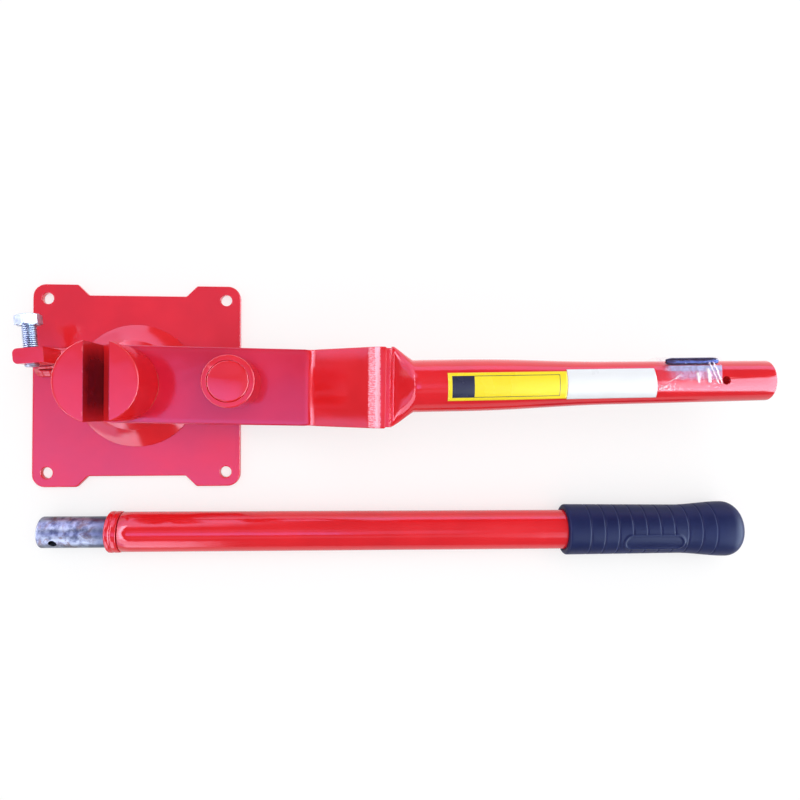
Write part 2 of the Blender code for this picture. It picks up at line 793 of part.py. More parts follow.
def build_handle(red, steel, navy):
    """The loose extension handle, resting on its shoulder bead and its flared grip."""
    rest_run = grip_end - grip_lip_length - shoulder_length / 2
    pitch = math.atan2(grip_flare_diameter / 2 - shoulder_diameter / 2, rest_run)
    height = shoulder_diameter / 2 * math.cos(pitch) - shoulder_length / 2 * math.sin(pitch)
    place = (handle_shoulder_x, handle_side, height)
    handle = add_axis("handle_axis", place, (0, -pitch, handle_yaw))

    nose = spigot_diameter / 2
    wall = handle_tube_diameter / 2
    bore = wall - handle_tube_wall
    root = bore - touch_gap
    root_end = handle_tube_start + spigot_root_length
    outline = [(0, -spigot_length), (nose - edge_chamfer, -spigot_length),
               (nose, edge_chamfer - spigot_length), (nose, handle_tube_start),
               (root, handle_tube_start), (root, root_end), (0, root_end)]
    spigot = add_object("handle_spigot", lathe(outline, lying=True), steel, handle)
    hole = rod(cross_hole_diameter, -handle_tube_diameter, handle_tube_diameter)
    cutter = add_object("spigot_hole", hole, parent=handle,
                        place=(-cross_hole_distance, 0, 0), turn=(spigot_hole_turn, 0, 0))
    shape_with(spigot, cutter)

    inside = nose + touch_gap
    crown = shoulder_diameter / 2
    bead = [(inside, 0), (inside, shoulder_length)]
    for i in range(2 * bead_steps + 1):
        turn = math.pi * i / (2 * bead_steps)
        share = (1 + math.cos(turn)) / 2
        foot = mix(inside + touch_gap, wall, share)
        bead.append((mix(foot, crown, math.sin(turn)), shoulder_length * share))
    add_object("handle_weld", lathe(bead, lying=True), red, handle)

    pipe = [(bore, handle_tube_start), (wall, handle_tube_start),
            (wall, handle_tube_end), (bore, handle_tube_end)]
    add_object("handle_tube", lathe(pipe, lying=True), red, handle)

    grip = add_object("handle_grip", lathe(grip_outline(), tube_steps, lying=True), navy, handle)
    badge = sheet(badge_rows(badge_stand), badge_rows(-2 * grip_groove_depth))
    shape_with(grip, add_object("grip_badge", badge, parent=handle), "UNION")


def build_rebar_bender():
    clear_scene()
    red = make_material("red_enamel", enamel_red, 0.25, 0.0)
    zinc = make_material("bright_zinc", bright_zinc, 0.30, 1.0)
    steel = make_material("bare_steel", bare_steel, 0.40, 1.0)
    blued = make_material("blued_steel", blued_steel, 0.30, 1.0)
    bronze = make_material("bearing_bronze", bearing_bronze, 0.40, 1.0)
    navy = make_material("grip_navy", grip_navy, 0.55, 0.0)
    yellow = make_material("foil_yellow", foil_yellow, 0.35, 0.0)
    white = make_material("foil_white", foil_white, 0.35, 0.0)
    film = make_material("film_clear", film_clear, 0.15, 0.0, alpha=0.35)

    build_base(red)
    build_pivot(red, steel, bronze)
    build_stop_foot(red)
    build_lug(red, zinc)

    lever = add_axis("lever_axis", (0, 0, 0), (0, 0, lever_yaw))
    build_bar(red, lever)
    build_hub(red, bronze, lever)
    build_roller(red, steel, lever)
    build_lever_weld(red, lever)
    tube = add_axis("tube_axis", (mouth_x, tube_side_offset, tube_axis_z), (0, 0, tube_yaw), lever)
    build_tube(red, tube)
    build_label("label_yellow", yellow_label_start, yellow_label_length - touch_gap,
                yellow_label_width, yellow_label_turn, yellow, tube)
    build_label("label_white", white_label_start, white_label_length,
                white_label_width, white_label_turn, white, tube)
    build_spare_pin(blued, film, tube)
    build_handle(red, steel, navy)


build_rebar_bender()
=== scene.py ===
import math

import bmesh
import bpy
from mathutils import Matrix, Quaternion, Vector, noise


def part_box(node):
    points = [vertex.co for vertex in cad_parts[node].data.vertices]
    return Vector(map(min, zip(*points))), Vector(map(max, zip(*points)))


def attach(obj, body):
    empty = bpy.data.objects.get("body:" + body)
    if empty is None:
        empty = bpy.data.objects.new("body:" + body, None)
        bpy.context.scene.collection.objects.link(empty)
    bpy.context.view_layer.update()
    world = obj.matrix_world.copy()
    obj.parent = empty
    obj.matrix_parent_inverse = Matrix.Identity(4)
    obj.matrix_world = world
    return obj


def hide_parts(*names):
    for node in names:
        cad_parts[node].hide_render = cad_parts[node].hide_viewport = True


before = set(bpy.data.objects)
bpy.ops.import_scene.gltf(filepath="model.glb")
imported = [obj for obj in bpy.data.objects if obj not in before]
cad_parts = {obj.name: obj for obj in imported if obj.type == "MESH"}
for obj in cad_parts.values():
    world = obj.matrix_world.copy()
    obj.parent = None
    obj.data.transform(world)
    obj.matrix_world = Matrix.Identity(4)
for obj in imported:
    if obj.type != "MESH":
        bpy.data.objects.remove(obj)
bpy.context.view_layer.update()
scene = bpy.context.scene
scene.view_settings.view_transform = "Standard"


# ---------------------------------------------------------------------------
# Camera and studio
# The bender lies on a pale bench and is seen from almost straight above.
# A broad cool ceiling panel, a thin strip lamp and a low window give the gloss.
# ---------------------------------------------------------------------------
camera_lens = 29.61
camera_place = (0.19421, -0.02110, 0.62288)
camera_turn = Vector((math.radians(0.782), math.radians(-4.284), math.radians(0.063)))
bench_size = 9.0
bench_drop = 0.0002
bench_colour = (0.95, 0.95, 0.95, 1)
bench_show = 0.62
bench_mirror_near = 0.75
bench_mirror_far = 1.8
white = (1, 1, 1, 1)
plain_colour = (0.74, 0.74, 0.75, 1)
room_colour = (0.20, 0.19, 0.24, 1)
ceiling_colour = (1.0, 1.0, 2.2)
loft_colour = (0.60, 0.60, 1.0, 1)
hatch_colour = (0.80, 0.80, 1.15, 1)
skylight_colour = (10.5, 10.2, 11.4)
far_colour = (2.7, 2.5, 3.5, 1)
strip_colour = (0.85, 1.0, 1.10)
wall_colour = (2.4, 2.2, 3.3, 1)
window_colour = (4.2, 4.2, 4.8, 1)
side_colour = (1.6, 1.5, 2.4, 1)
fill_strength = 17.0
key_strength = 2.0


def add_node(tree, kind, feeds=None, **settings):
    """Add a node, set it up and give its inputs their values or links."""
    made = tree.nodes.new(kind)
    for name, value in settings.items():
        setattr(made, name, value)
    for name, value in (feeds or {}).items():
        if isinstance(value, bpy.types.NodeSocket):
            tree.links.new(value, made.inputs[name])
        else:
            made.inputs[name].default_value = value
    return made


def calc(operation, *values):
    """One sum, as a node in the tree that the first result among its numbers comes from."""
    tree = next(value.id_data for value in values if isinstance(value, bpy.types.NodeSocket))
    return add_node(tree, "ShaderNodeMath", dict(enumerate(values)), operation=operation).outputs[0]


def chained(operation):
    """A sum that takes two or more numbers in turn."""
    def work(result, *others):
        for other in others:
            result = calc(operation, result, other)
        return result
    return work


plus, minus, times = chained("ADD"), chained("SUBTRACT"), chained("MULTIPLY")
most, least = chained("MAXIMUM"), chained("MINIMUM")


def apart(first, second):
    """How far apart two numbers lie."""
    return calc("ABSOLUTE", minus(first, second))


def ramp(value, low, high, start=0.0, end=1.0):
    """A smooth step from start to end while value goes from low to high."""
    feeds = {"Value": value, "From Min": low, "From Max": high, "To Min": start, "To Max": end}
    return add_node(value.id_data, "ShaderNodeMapRange", feeds, interpolation_type="SMOOTHSTEP").outputs[0]


def blend_colours(share, first, second):
    """Two colours mixed by a share."""
    return add_node(share.id_data, "ShaderNodeMix", {0: share, 6: first, 7: second}, data_type="RGBA").outputs[2]


def parts_of(vector):
    """The X, Y and Z of a vector."""
    return add_node(vector.id_data, "ShaderNodeSeparateXYZ", {0: vector}).outputs


def object_place(tree):
    """Where a point of a piece lies."""
    return add_node(tree, "ShaderNodeTexCoord").outputs["Object"]


camera_data = bpy.data.cameras.new("camera")
camera_data.sensor_width = 36
camera_data.lens = camera_lens
camera = bpy.data.objects.new("camera", camera_data)
scene.collection.objects.link(camera)
camera.location = camera_place
camera.rotation_mode = "QUATERNION"
camera.rotation_quaternion = Quaternion(camera_turn.normalized(), camera_turn.length)
scene.camera = camera

# Bench: a matt white top that keeps a soft shadow and mirrors more light past the lever
bench_material = bpy.data.materials.new("bench_white")
bench_material.use_nodes = True
bench_tree = bench_material.node_tree
bench_tree.nodes.clear()
bench_rays = add_node(bench_tree, "ShaderNodeLightPath").outputs
bench_seen = most(bench_rays["Is Camera Ray"], bench_rays["Is Glossy Ray"], bench_rays["Is Transmission Ray"])
bench_mirror = ramp(parts_of(object_place(bench_tree))["Y"], -0.06, 0.08, bench_mirror_near, bench_mirror_far)
bench_power = plus(1.0, times(bench_rays["Is Glossy Ray"], minus(bench_mirror, 1.0)))
bench_matt = add_node(bench_tree, "ShaderNodeBsdfDiffuse", {"Color": bench_colour})
bench_glow = add_node(bench_tree, "ShaderNodeEmission", {"Color": white, "Strength": bench_power})
bench_mix = add_node(bench_tree, "ShaderNodeMixShader",
                     {0: times(bench_seen, bench_show), 1: bench_matt.outputs[0],
                      2: bench_glow.outputs[0]})
add_node(bench_tree, "ShaderNodeOutputMaterial", {"Surface": bench_mix.outputs[0]})
bench_bm = bmesh.new()
bmesh.ops.create_grid(bench_bm, x_segments=1, y_segments=1, size=bench_size / 2)
bench_mesh = bpy.data.meshes.new("bench")
bench_bm.to_mesh(bench_mesh)
bench_bm.free()
bench_mesh.materials.append(bench_material)
bench = bpy.data.objects.new("bench", bench_mesh)
bench.location.z = -bench_drop
scene.collection.objects.link(bench)

# Studio: what stands round the bench, laid out by direction in run per rise from the zenith
studio = bpy.data.worlds.new("studio")
scene.world = studio
studio.use_nodes = True
sky = studio.node_tree
sky.nodes.clear()
sky_way = parts_of(add_node(sky, "ShaderNodeTexCoord").outputs["Generated"])
sky_up = most(sky_way["Z"], 0.02)
sky_x = calc("DIVIDE", sky_way["X"], sky_up)
sky_y = calc("DIVIDE", sky_way["Y"], sky_up)


def panel(x_low, x_high, y_low, y_high, soft):
    """Mask of a flat overhead panel."""
    sides = [ramp(run, edge - soft, edge + soft, start, 1.0 - start)
             for run, edge, start in ((sky_x, x_low, 0.0), (sky_x, x_high, 1.0),
                                      (sky_y, y_low, 0.0), (sky_y, y_high, 1.0))]
    return times(*sides)


def scaled(colour, power):
    """A light's colour times its power."""
    return add_node(sky, "ShaderNodeVectorMath", {0: colour, "Scale": power}, operation="SCALE").outputs[0]


# Broad ceiling light, brighter towards the near side, with a dimmer loft past its far edge
ceiling_far = plus(sky_y, times(sky_x, 0.09))
ceiling = times(panel(-0.54, -0.02, -0.24, 0.60, 0.025), ramp(ceiling_far, 0.034, 0.056, 1.0, 0.0))
ceiling_fall = plus(times(sky_x, -1.2), times(sky_y, -5.0), 0.97)
ceiling_power = add_node(sky, "ShaderNodeClamp", {0: ceiling_fall, 1: 0.66, 2: 1.90}).outputs[0]
loft = panel(-0.54, -0.02, 0.09, 0.26, 0.04)
hatch = panel(-0.02, 0.16, -0.22, 0.12, 0.03)
# Skylight over the left side, cut back in a notch that the lever's low bend mirrors
skylight_edge = minus(times(calc("ABSOLUTE", sky_y), 0.42), 1.05)
skylight = times(panel(-2.8, 0.0, -1.3, 1.1, 0.05), ramp(minus(sky_x, skylight_edge), -0.05, 0.05, 1.0, 0.0))
skylight_power = ramp(sky_x, -1.8, -1.3, 0.45, 1.0)
far_glow = panel(-3.0, -0.30, 0.75, 2.8, 0.10)
# Strip that widens and brightens to the right
strip_top = plus(-0.40, most(0.0, minus(sky_x, 0.05)))
strip_foot = minus(-0.65, most(0.0, minus(sky_x, 0.20)))
strip = times(ramp(minus(strip_top, sky_y), -0.04, 0.04),
              ramp(minus(sky_y, strip_foot), -0.06, 0.06), ramp(sky_x, -0.50, -0.30))
strip_power = ramp(sky_x, 0.20, 0.85, 0.7, 9.5)
# Pale wall behind, a low window on the near left, and a side light with a gap in its middle
wall = times(ramp(sky_way["Z"], 0.38, 0.30), ramp(sky_way["Y"], 0.25, 0.55))
window = times(ramp(sky_way["Z"], 0.70, 0.58), ramp(sky_way["Y"], -0.38, -0.50), ramp(sky_way["X"], -0.20, -0.26))
side = times(ramp(sky_way["Z"], 0.28, 0.23), ramp(sky_way["X"], -0.45, -0.60),
             ramp(apart(sky_way["Y"], 0.048), 0.09, 0.14))
sky_colour = room_colour
for mask, colour in ((loft, loft_colour), (ceiling, scaled(ceiling_colour, ceiling_power)),
                     (hatch, hatch_colour), (strip, scaled(strip_colour, strip_power)),
                     (far_glow, far_colour), (skylight, scaled(skylight_colour, skylight_power)),
                     (wall, wall_colour), (window, window_colour), (side, side_colour)):
    sky_colour = blend_colours(mask, sky_colour, colour)
sky_rays = add_node(sky, "ShaderNodeLightPath").outputs
sky_colour = blend_colours(sky_rays["Is Glossy Ray"], plain_colour, sky_colour)
sky_lit = add_node(sky, "ShaderNodeBackground", {"Color": sky_colour, "Strength": 1.0})
sky_white = add_node(sky, "ShaderNodeBackground", {"Color": white, "Strength": 1.0})
sky_seen = most(sky_rays["Is Camera Ray"], sky_rays["Is Transmission Ray"])
sky_mix = add_node(sky, "ShaderNodeMixShader", {0: sky_seen, 1: sky_lit.outputs[0], 2: sky_white.outputs[0]})
add_node(sky, "ShaderNodeOutputWorld", {"Surface": sky_mix.outputs[0]})


def add_lamp(name, place, aim, size, strength):
    """A soft square lamp that lights the object without showing in its gloss."""
    data = bpy.data.lights.new(name, "AREA")
    data.shape = "SQUARE"
    data.size = size
    data.energy = strength
    lamp = bpy.data.objects.new(name, data)
    scene.collection.objects.link(lamp)
    lamp.location = place
    lamp.rotation_mode = "QUATERNION"
    lamp.rotation_quaternion = (Vector(aim) - Vector(place)).to_track_quat("-Z", "Y")
    lamp.visible_glossy = False


lamp_aim = (0.2, 0, 0)
add_lamp("overhead_fill", (0.5, 0.3, 1.9), lamp_aim, 1.6, fill_strength)
add_lamp("near_key", (0.9, -1.2, 1.5), lamp_aim, 1.0, key_strength)


# ---------------------------------------------------------------------------
# Base plate
# Laser-cut 6 mm steel with a bolting tab at each corner, degreased and dipped
# in glossy red enamel, which rounds every edge and shows a faint orange peel.
# ---------------------------------------------------------------------------
plate_low, plate_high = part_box("base_plate")
tab_length = 0.0393
tab_slope_length = 0.0098
tab_depth = 0.0097
plate_corner_radius = 0.0115
tab_corner_radius = 0.0025
bolt_hole_diameter = 0.010
bolt_hole_inset = 0.013
plate_rounding = 0.0009
plate_margin = 0.0010
enamel_red = (0.71, 0.014, 0.018, 1)
enamel_thin_edge_highlight = (0.85, 0.11, 0.12, 1)
enamel_nib_colour = (0.9, 0.55, 0.55, 1)
enamel_gloss = {"Specular_IOR_Level": 0.60, "Specular_Tint": (0.95, 0.80, 1.0, 1)}
enamel_relief = 0.00002
FLOAT = "NodeSocketFloat"
COLOUR = "NodeSocketColor"


def start_group(name, inputs, outputs):
    """An empty shader group with named inputs, with their values, and outputs."""
    tree = bpy.data.node_groups.new(name, "ShaderNodeTree")
    for label, kind, value in inputs:
        socket = tree.interface.new_socket(label, in_out="INPUT", socket_type=kind)
        socket.default_value = value
    for label, kind in outputs:
        tree.interface.new_socket(label, in_out="OUTPUT", socket_type=kind)
    return tree, tree.nodes.new("NodeGroupInput").outputs, tree.nodes.new("NodeGroupOutput").inputs


def link(sockets, **values):
    """Link results to the sockets of those names, with _ for a blank."""
    for label, value in values.items():
        value.id_data.links.new(value, sockets[label.replace("_", " ")])


def grain(place, size, detail=2.0, roughness=0.5, distortion=0.0):
    """Cloudy grain whose lumps are about size metres across."""
    feeds = {"Vector": place, "Scale": 1 / size, "Detail": detail,
             "Roughness": roughness, "Distortion": distortion}
    return add_node(place.id_data, "ShaderNodeTexNoise", feeds).outputs["Fac"]


def drawn_out(place, scale):
    """A place scaled by axis, which draws out the grain on it."""
    return add_node(place.id_data, "ShaderNodeMapping", {"Vector": place, "Scale": scale}).outputs[0]


def relief(height, depth):
    """Normal of fine relief, with its depth in metres."""
    feeds = {"Height": height, "Strength": 1.0, "Distance": depth}
    return add_node(height.id_data, "ShaderNodeBump", feeds).outputs[0]


def add_effect(tree, group, **values):
    """Put a shader group into a tree and set its inputs."""
    made = add_node(tree, "ShaderNodeGroup", node_tree=group)
    for label, value in values.items():
        made.inputs[label.replace("_", " ")].default_value = value
    return made


# Edges that stick out, from the shape itself
edge_tree, edge_in, edge_out = start_group(
    "sharp_edges", [("Start", FLOAT, 0.52), ("Full", FLOAT, 0.60)], [("Mask", FLOAT)])
edge_point = add_node(edge_tree, "ShaderNodeNewGeometry").outputs["Pointiness"]
link(edge_out, Mask=ramp(edge_point, edge_in["Start"], edge_in["Full"]))

# Dust that settled in a finish while it was wet
nib_tree, nib_in, nib_out = start_group(
    "dust_nibs", [("Spacing", FLOAT, 90.0), ("Size", FLOAT, 0.045)], [("Mask", FLOAT)])
nib_cell = add_node(nib_tree, "ShaderNodeTexVoronoi",
                    {"Vector": object_place(nib_tree), "Scale": nib_in["Spacing"]}).outputs
nib_chance = add_node(nib_tree, "ShaderNodeSeparateColor", {0: nib_cell["Color"]}).outputs["Red"]
link(nib_out, Mask=times(ramp(nib_cell["Distance"], nib_in["Size"], 0.0), calc("GREATER_THAN", nib_chance, 0.86)))

# Dipped enamel: peel, slow runs, a few nibs, and sharp edges painted lighter, partly thin paint and partly painted
# highlight
enamel_tree, enamel_in, enamel_out = start_group(
    "dipped_enamel",
    [("Paint", COLOUR, enamel_red), ("Thin Paint Highlight", COLOUR, enamel_thin_edge_highlight),
     ("Peel", FLOAT, 0.5), ("Runs", FLOAT, 0.5), ("Press Marks", FLOAT, 0.0)],
    [("Color", COLOUR), ("Roughness", FLOAT), ("Height", FLOAT)])
enamel_place = object_place(enamel_tree)
enamel_peel = grain(enamel_place, 0.0021, 1.0)
enamel_runs = grain(enamel_place, 0.021, 2.0, 0.4, 0.3)
enamel_cloud = grain(enamel_place, 0.055, 3.0, 0.55)
enamel_press = grain(drawn_out(enamel_place, (0.35, 1.0, 0.35)), 0.0016, 3.0, 0.7, 0.6)
enamel_edge_highlight = add_effect(enamel_tree, edge_tree, Start=0.53, Full=0.66).outputs[0]
enamel_nib = add_effect(enamel_tree, nib_tree, Spacing=75.0, Size=0.035).outputs[0]
enamel_depth = ramp(enamel_cloud, 0.30, 0.70, 0.93, 1.05)
paint = add_node(enamel_tree, "ShaderNodeHueSaturation",
                 {"Value": enamel_depth, "Color": enamel_in["Paint"]}).outputs[0]
# Painted highlight, partly thin paint: sharp edges are lightened towards a pale red
paint = blend_colours(times(enamel_edge_highlight, 0.75), paint, enamel_in["Thin Paint Highlight"])
paint = blend_colours(times(enamel_nib, 0.6), paint, enamel_nib_colour)
link(enamel_out, Color=paint,
     Roughness=plus(ramp(enamel_cloud, 0.35, 0.75, 0.10, 0.17), times(enamel_in["Press Marks"], 0.10)),
     Height=plus(times(enamel_peel, enamel_in["Peel"]), times(enamel_runs, enamel_in["Runs"], 6.0),
                 times(enamel_press, enamel_in["Press Marks"], 7.0), times(enamel_nib, 3.0)))


def start_material(name, **values):
    """A material with its Principled shader set up. Returns it, its tree and the shader."""
    material = bpy.data.materials.new(name)
    material.use_nodes = True
    tree = material.node_tree
    shader = tree.nodes["Principled BSDF"]
    for label, value in values.items():
        shader.inputs[label.replace("_", " ")].default_value = value
    return material, tree, shader


def coated(name, group, depth, shading, **inputs):
    """A material dressed by one effect group. Returns it, its tree, its shader and its effect node."""
    material, tree, shader = start_material(name, **shading)
    effect = add_effect(tree, group, **inputs)
    link(shader.inputs, Base_Color=effect.outputs["Color"], Roughness=effect.outputs["Roughness"],
         Normal=relief(effect.outputs["Height"], depth))
    return material, tree, shader, effect


def red_enamel(name, peel=0.5, runs=0.5):
    """Glossy red enamel, returned as coated does."""
    return coated(name, enamel_tree, enamel_relief, enamel_gloss, Peel=peel, Runs=runs)


def add_shape(name, bm, place=None):
    """Turn a bmesh into an object."""
    bmesh.ops.recalc_face_normals(bm, faces=bm.faces)
    mesh = bpy.data.meshes.new(name)
    bm.to_mesh(mesh)
    bm.free()
    if place:
        mesh.transform(place)
    thing = bpy.data.objects.new(name, mesh)
    scene.collection.objects.link(thing)
    return thing


def make_piece(name, bm, material, body, stands_for, place=None, rounding=0.0,
               steps=3, angle=35, cutters=(), even=True):
    """Turn a bmesh into a piece that rides on its body, with cuts and rounded edges."""
    thing = add_shape(name, bm, place)
    thing.data.shade_smooth()
    thing.data.materials.append(material)
    for cutter in cutters:
        cut = thing.modifiers.new(cutter.name, "BOOLEAN")
        cut.operation = "DIFFERENCE"
        cut.solver = "EXACT"
        cut.object = cutter
    if rounding:
        soften = thing.modifiers.new("rounded_edges", "BEVEL")
        soften.limit_method = "ANGLE"
        soften.angle_limit = math.radians(angle)
        soften.width = rounding
        soften.segments = steps
        soften.use_clamp_overlap = True
        soften.miter_outer = "MITER_ARC"
        soften.harden_normals = True
    elif even:
        weigh = thing.modifiers.new("even_faces", "WEIGHTED_NORMAL")
        weigh.keep_sharp = False
        weigh.weight = 80
    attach(thing, body)
    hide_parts(*stands_for)
    return thing


def arc(centre, radius, start, end, steps):
    """Points on an arc, both ends included."""
    points = []
    for i in range(steps + 1):
        turn = start + (end - start) * i / steps
        points.append((centre[0] + radius * math.cos(turn), centre[1] + radius * math.sin(turn)))
    return points


def round_corner(before, corner, after, radius, steps=4):
    """Points that round one corner of an outline."""
    corner = Vector(corner)
    to_before = (Vector(before) - corner).normalized()
    to_after = (Vector(after) - corner).normalized()
    half = to_before.angle(to_after) / 2
    reach = radius / math.tan(half)
    middle = corner + (to_before + to_after).normalized() * (radius / math.sin(half))
    first = corner + to_before * reach
    last = corner + to_after * reach
    points = []
    for i in range(steps + 1):
        way = (first - middle).normalized().slerp((last - middle).normalized(), i / steps)
        points.append(tuple(middle + way * radius))
    return points


plate_half_x = plate_high.x
plate_half_y = plate_high.y
tab_x = plate_half_x - tab_length
waist_x = tab_x - tab_slope_length
waist_y = plate_half_y - tab_depth
corner_middle = (plate_half_x - plate_corner_radius, plate_half_y - plate_corner_radius)
quarter = arc(corner_middle, plate_corner_radius, 0, math.pi / 2, 10)
quarter += round_corner((plate_half_x, plate_half_y), (tab_x, plate_half_y), (waist_x, waist_y), tab_corner_radius)
quarter += round_corner((tab_x, plate_half_y), (waist_x, waist_y), (0, waist_y), tab_corner_radius)
far_half = quarter + [(-x, y) for x, y in reversed(quarter)]
plate_outline = far_half + [(x, -y) for x, y in reversed(far_half)]


def inset(loop, distance):
    """A closed outline moved inwards by a distance. Its inside lies on the left."""
    moved = []
    for i, point in enumerate(loop):
        here = Vector(point)
        first = (here - Vector(loop[i - 1])).normalized()
        second = (Vector(loop[(i + 1) % len(loop)]) - here).normalized()
        side = Vector((-first.y - second.y, first.x + second.x)).normalized()
        moved.append(tuple(here + side * (distance / side.dot(Vector((-first.y, first.x))))))
    return moved


# Every edge of the plate is rounded, with a flat margin behind it
plate_edge = [(plate_rounding + plate_margin, plate_low.z)]
for i in range(5):
    turn = math.pi / 2 * i / 4
    plate_edge.append((plate_rounding * (1 - math.sin(turn)), plate_low.z + plate_rounding * (1 - math.cos(turn))))
plate_edge += [(away, plate_low.z + plate_high.z - level) for away, level in reversed(plate_edge)]
plate_bm = bmesh.new()
plate_loops = [(plate_outline, 1)]
for side_x in (-1, 1):
    for side_y in (-1, 1):
        hole_middle = (side_x * (plate_half_x - bolt_hole_inset), side_y * (plate_half_y - bolt_hole_inset))
        plate_loops.append((arc(hole_middle, bolt_hole_diameter / 2, 0, 2 * math.pi, 40)[:-1], -1))
cap_edges = [[], []]
for loop, way in plate_loops:
    rows = [[plate_bm.verts.new((x, y, level)) for x, y in inset(loop, way * away)] for away, level in plate_edge]
    for near, far in zip(rows, rows[1:]):
        for i in range(len(loop)):
            plate_bm.faces.new((near[i - 1], near[i], far[i], far[i - 1]))
    for cap, row in zip(cap_edges, (rows[0], rows[-1])):
        cap += [plate_bm.edges.get((row[i - 1], row[i])) for i in range(len(row))]
for cap in cap_edges:
    bmesh.ops.triangle_fill(plate_bm, use_beauty=True, use_dissolve=False, edges=cap)
plate_paint = red_enamel("enamel_plate", peel=0.45, runs=0.7)[0]
make_piece("plate_enamelled", plate_bm, plate_paint, "base", ["base_plate"])


# ---------------------------------------------------------------------------
# Pedestal
# A low turned cone that lifts the lever's hub off the plate. The enamel has
# pooled into a fine fillet round its foot.
# ---------------------------------------------------------------------------
pedestal_low, pedestal_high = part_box("pedestal")
pedestal_top_diameter = 0.080
pedestal_bore = 0.0406
pedestal_lip = 0.0012
pedestal_rounding = 0.0009
pedestal_foot_slope = 0.76
pedestal_shoulder = 0.0058
pedestal_shoulder_drop = 0.0022


def skin(rings, closed=False, caps=True):
    """Join rings of points into one skin. It closes on itself, or has a cap at each end."""
    bm = bmesh.new()
    rows = [[bm.verts.new(point) for point in ring] for ring in rings]
    pairs = list(zip(rows, rows[1:]))
    if closed:
        pairs.append((rows[-1], rows[0]))
    elif caps:
        bm.faces.new(rows[0])
        bm.faces.new(rows[-1])
    for near, far in pairs:
        for i, point in enumerate(near):
            j = (i + 1) % len(near)
            bm.faces.new((point, near[j], far[j], far[i]))
    return bm


def all_round(count):
    """Even turns all the way round."""
    return [2 * math.pi * i / count for i in range(count)]


def turned(profile, steps=96, lying=False):
    """Turn a profile of (radius, distance) about Z, or about X for a lying piece.

    A profile that starts on the axis makes a solid. Any other one is a closed loop.
    """
    rings = []
    for radius, distance in profile:
        if radius:
            ring = [(radius * math.cos(turn), radius * math.sin(turn)) for turn in all_round(steps)]
            rings.append([(distance, side, rise) if lying else (rise, side, distance) for rise, side in ring])
    return skin(rings, closed=profile[0][0] != 0)


def soft_profile(points, closed=False):
    """Round the corners of a turned profile. Each point is (radius, distance, rounding)."""
    rounded = []
    count = len(points)
    for i, (radius, distance, rounding) in enumerate(points):
        if rounding == 0 or (not closed and i in (0, count - 1)):
            rounded.append((radius, distance))
            continue
        before = points[i - 1][:2]
        after = points[(i + 1) % count][:2]
        rounded += round_corner(before, (radius, distance), after, rounding, 5)
    return rounded


pedestal_foot = pedestal_high.x
shoulder_z = pedestal_high.z - pedestal_shoulder_drop
pedestal_flank = []
for i in range(1, 12):
    share = i / 12
    climb = pedestal_foot_slope * share + (1 - pedestal_foot_slope) * share ** 2
    pedestal_flank.append((pedestal_foot + (pedestal_top_diameter / 2 - pedestal_foot) * share,
                           pedestal_low.z + pedestal_lip + (shoulder_z - pedestal_low.z - pedestal_lip) * climb))
pedestal_profile = soft_profile(
    [(pedestal_bore / 2, pedestal_low.z, 0),
     (pedestal_foot, pedestal_low.z, 0),
     (pedestal_foot, pedestal_low.z + pedestal_lip, 0.0004)]
    + [(radius, level, 0) for radius, level in pedestal_flank]
    + [(pedestal_top_diameter / 2, shoulder_z, pedestal_rounding),
       (pedestal_top_diameter / 2 - pedestal_shoulder, pedestal_high.z, pedestal_rounding),
       (pedestal_bore / 2, pedestal_high.z, 0)], closed=True)
pedestal_paint = red_enamel("enamel_pedestal", peel=0.5, runs=1.2)[0]
make_piece("pedestal_cone", turned(pedestal_profile, 128), pedestal_paint, "base", ["pedestal"])


# ---------------------------------------------------------------------------
# Spindle and thrust washers
# A ground steel pin and two bronze washers that the lever turns between. They
# stay hidden under the head, so the frame's own shapes carry the finish.
# ---------------------------------------------------------------------------
ground_steel = (0.42, 0.43, 0.46, 1)
oiled_steel = (0.24, 0.24, 0.26, 1)
bronze_light = (0.62, 0.42, 0.19, 1)
bronze_dark = (0.36, 0.22, 0.09, 1)

metal_tree, metal_in, metal_out = start_group(
    "worked_metal",
    [("Light", COLOUR, ground_steel), ("Dark", COLOUR, oiled_steel), ("Patch Size", FLOAT, 60.0),
     ("Cut Size", FLOAT, 2500.0), ("Shine", FLOAT, 0.3)],
    [("Color", COLOUR), ("Roughness", FLOAT), ("Height", FLOAT)])
metal_place = object_place(metal_tree)
metal_patch = add_node(metal_tree, "ShaderNodeTexNoise",
                       {"Vector": metal_place, "Scale": metal_in["Patch Size"], "Detail": 4.0}).outputs["Fac"]
metal_cut = add_node(metal_tree, "ShaderNodeTexNoise",
                     {"Vector": drawn_out(metal_place, (0.08, 0.08, 1.0)),
                      "Scale": metal_in["Cut Size"], "Detail": 2.0}).outputs["Fac"]
metal_edge = add_effect(metal_tree, edge_tree).outputs[0]
metal_tone = minus(1.0, ramp(metal_patch, 0.35, 0.65))
metal_colour = blend_colours(metal_tone, metal_in["Light"], metal_in["Dark"])
metal_colour = blend_colours(times(metal_edge, 0.5), metal_colour, metal_in["Light"])
link(metal_out, Color=metal_colour, Height=metal_cut, Roughness=plus(metal_in["Shine"], times(metal_patch, 0.18)))


def worked_metal(name, light, dark, shine=0.3, patch_size=60.0, cut_size=2500.0, cut_depth=0.000004):
    """Bare metal with machining marks and patches of oil, returned as coated does."""
    return coated(name, metal_tree, cut_depth, {"Metallic": 1.0}, Light=light, Dark=dark, Shine=shine,
                  Patch_Size=patch_size, Cut_Size=cut_size)


def dress_node(name, material):
    """Give a node of the frame its finish."""
    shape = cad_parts[name].data
    shape.materials.clear()
    shape.materials.append(material)


spindle_steel = worked_metal("ground_spindle_steel", ground_steel, oiled_steel)[0]
washer_bronze = worked_metal("turned_bronze", bronze_light, bronze_dark, 0.32)[0]
dress_node("spindle", spindle_steel)
dress_node("lower_thrust_washer", washer_bronze)
dress_node("upper_thrust_washer", washer_bronze)
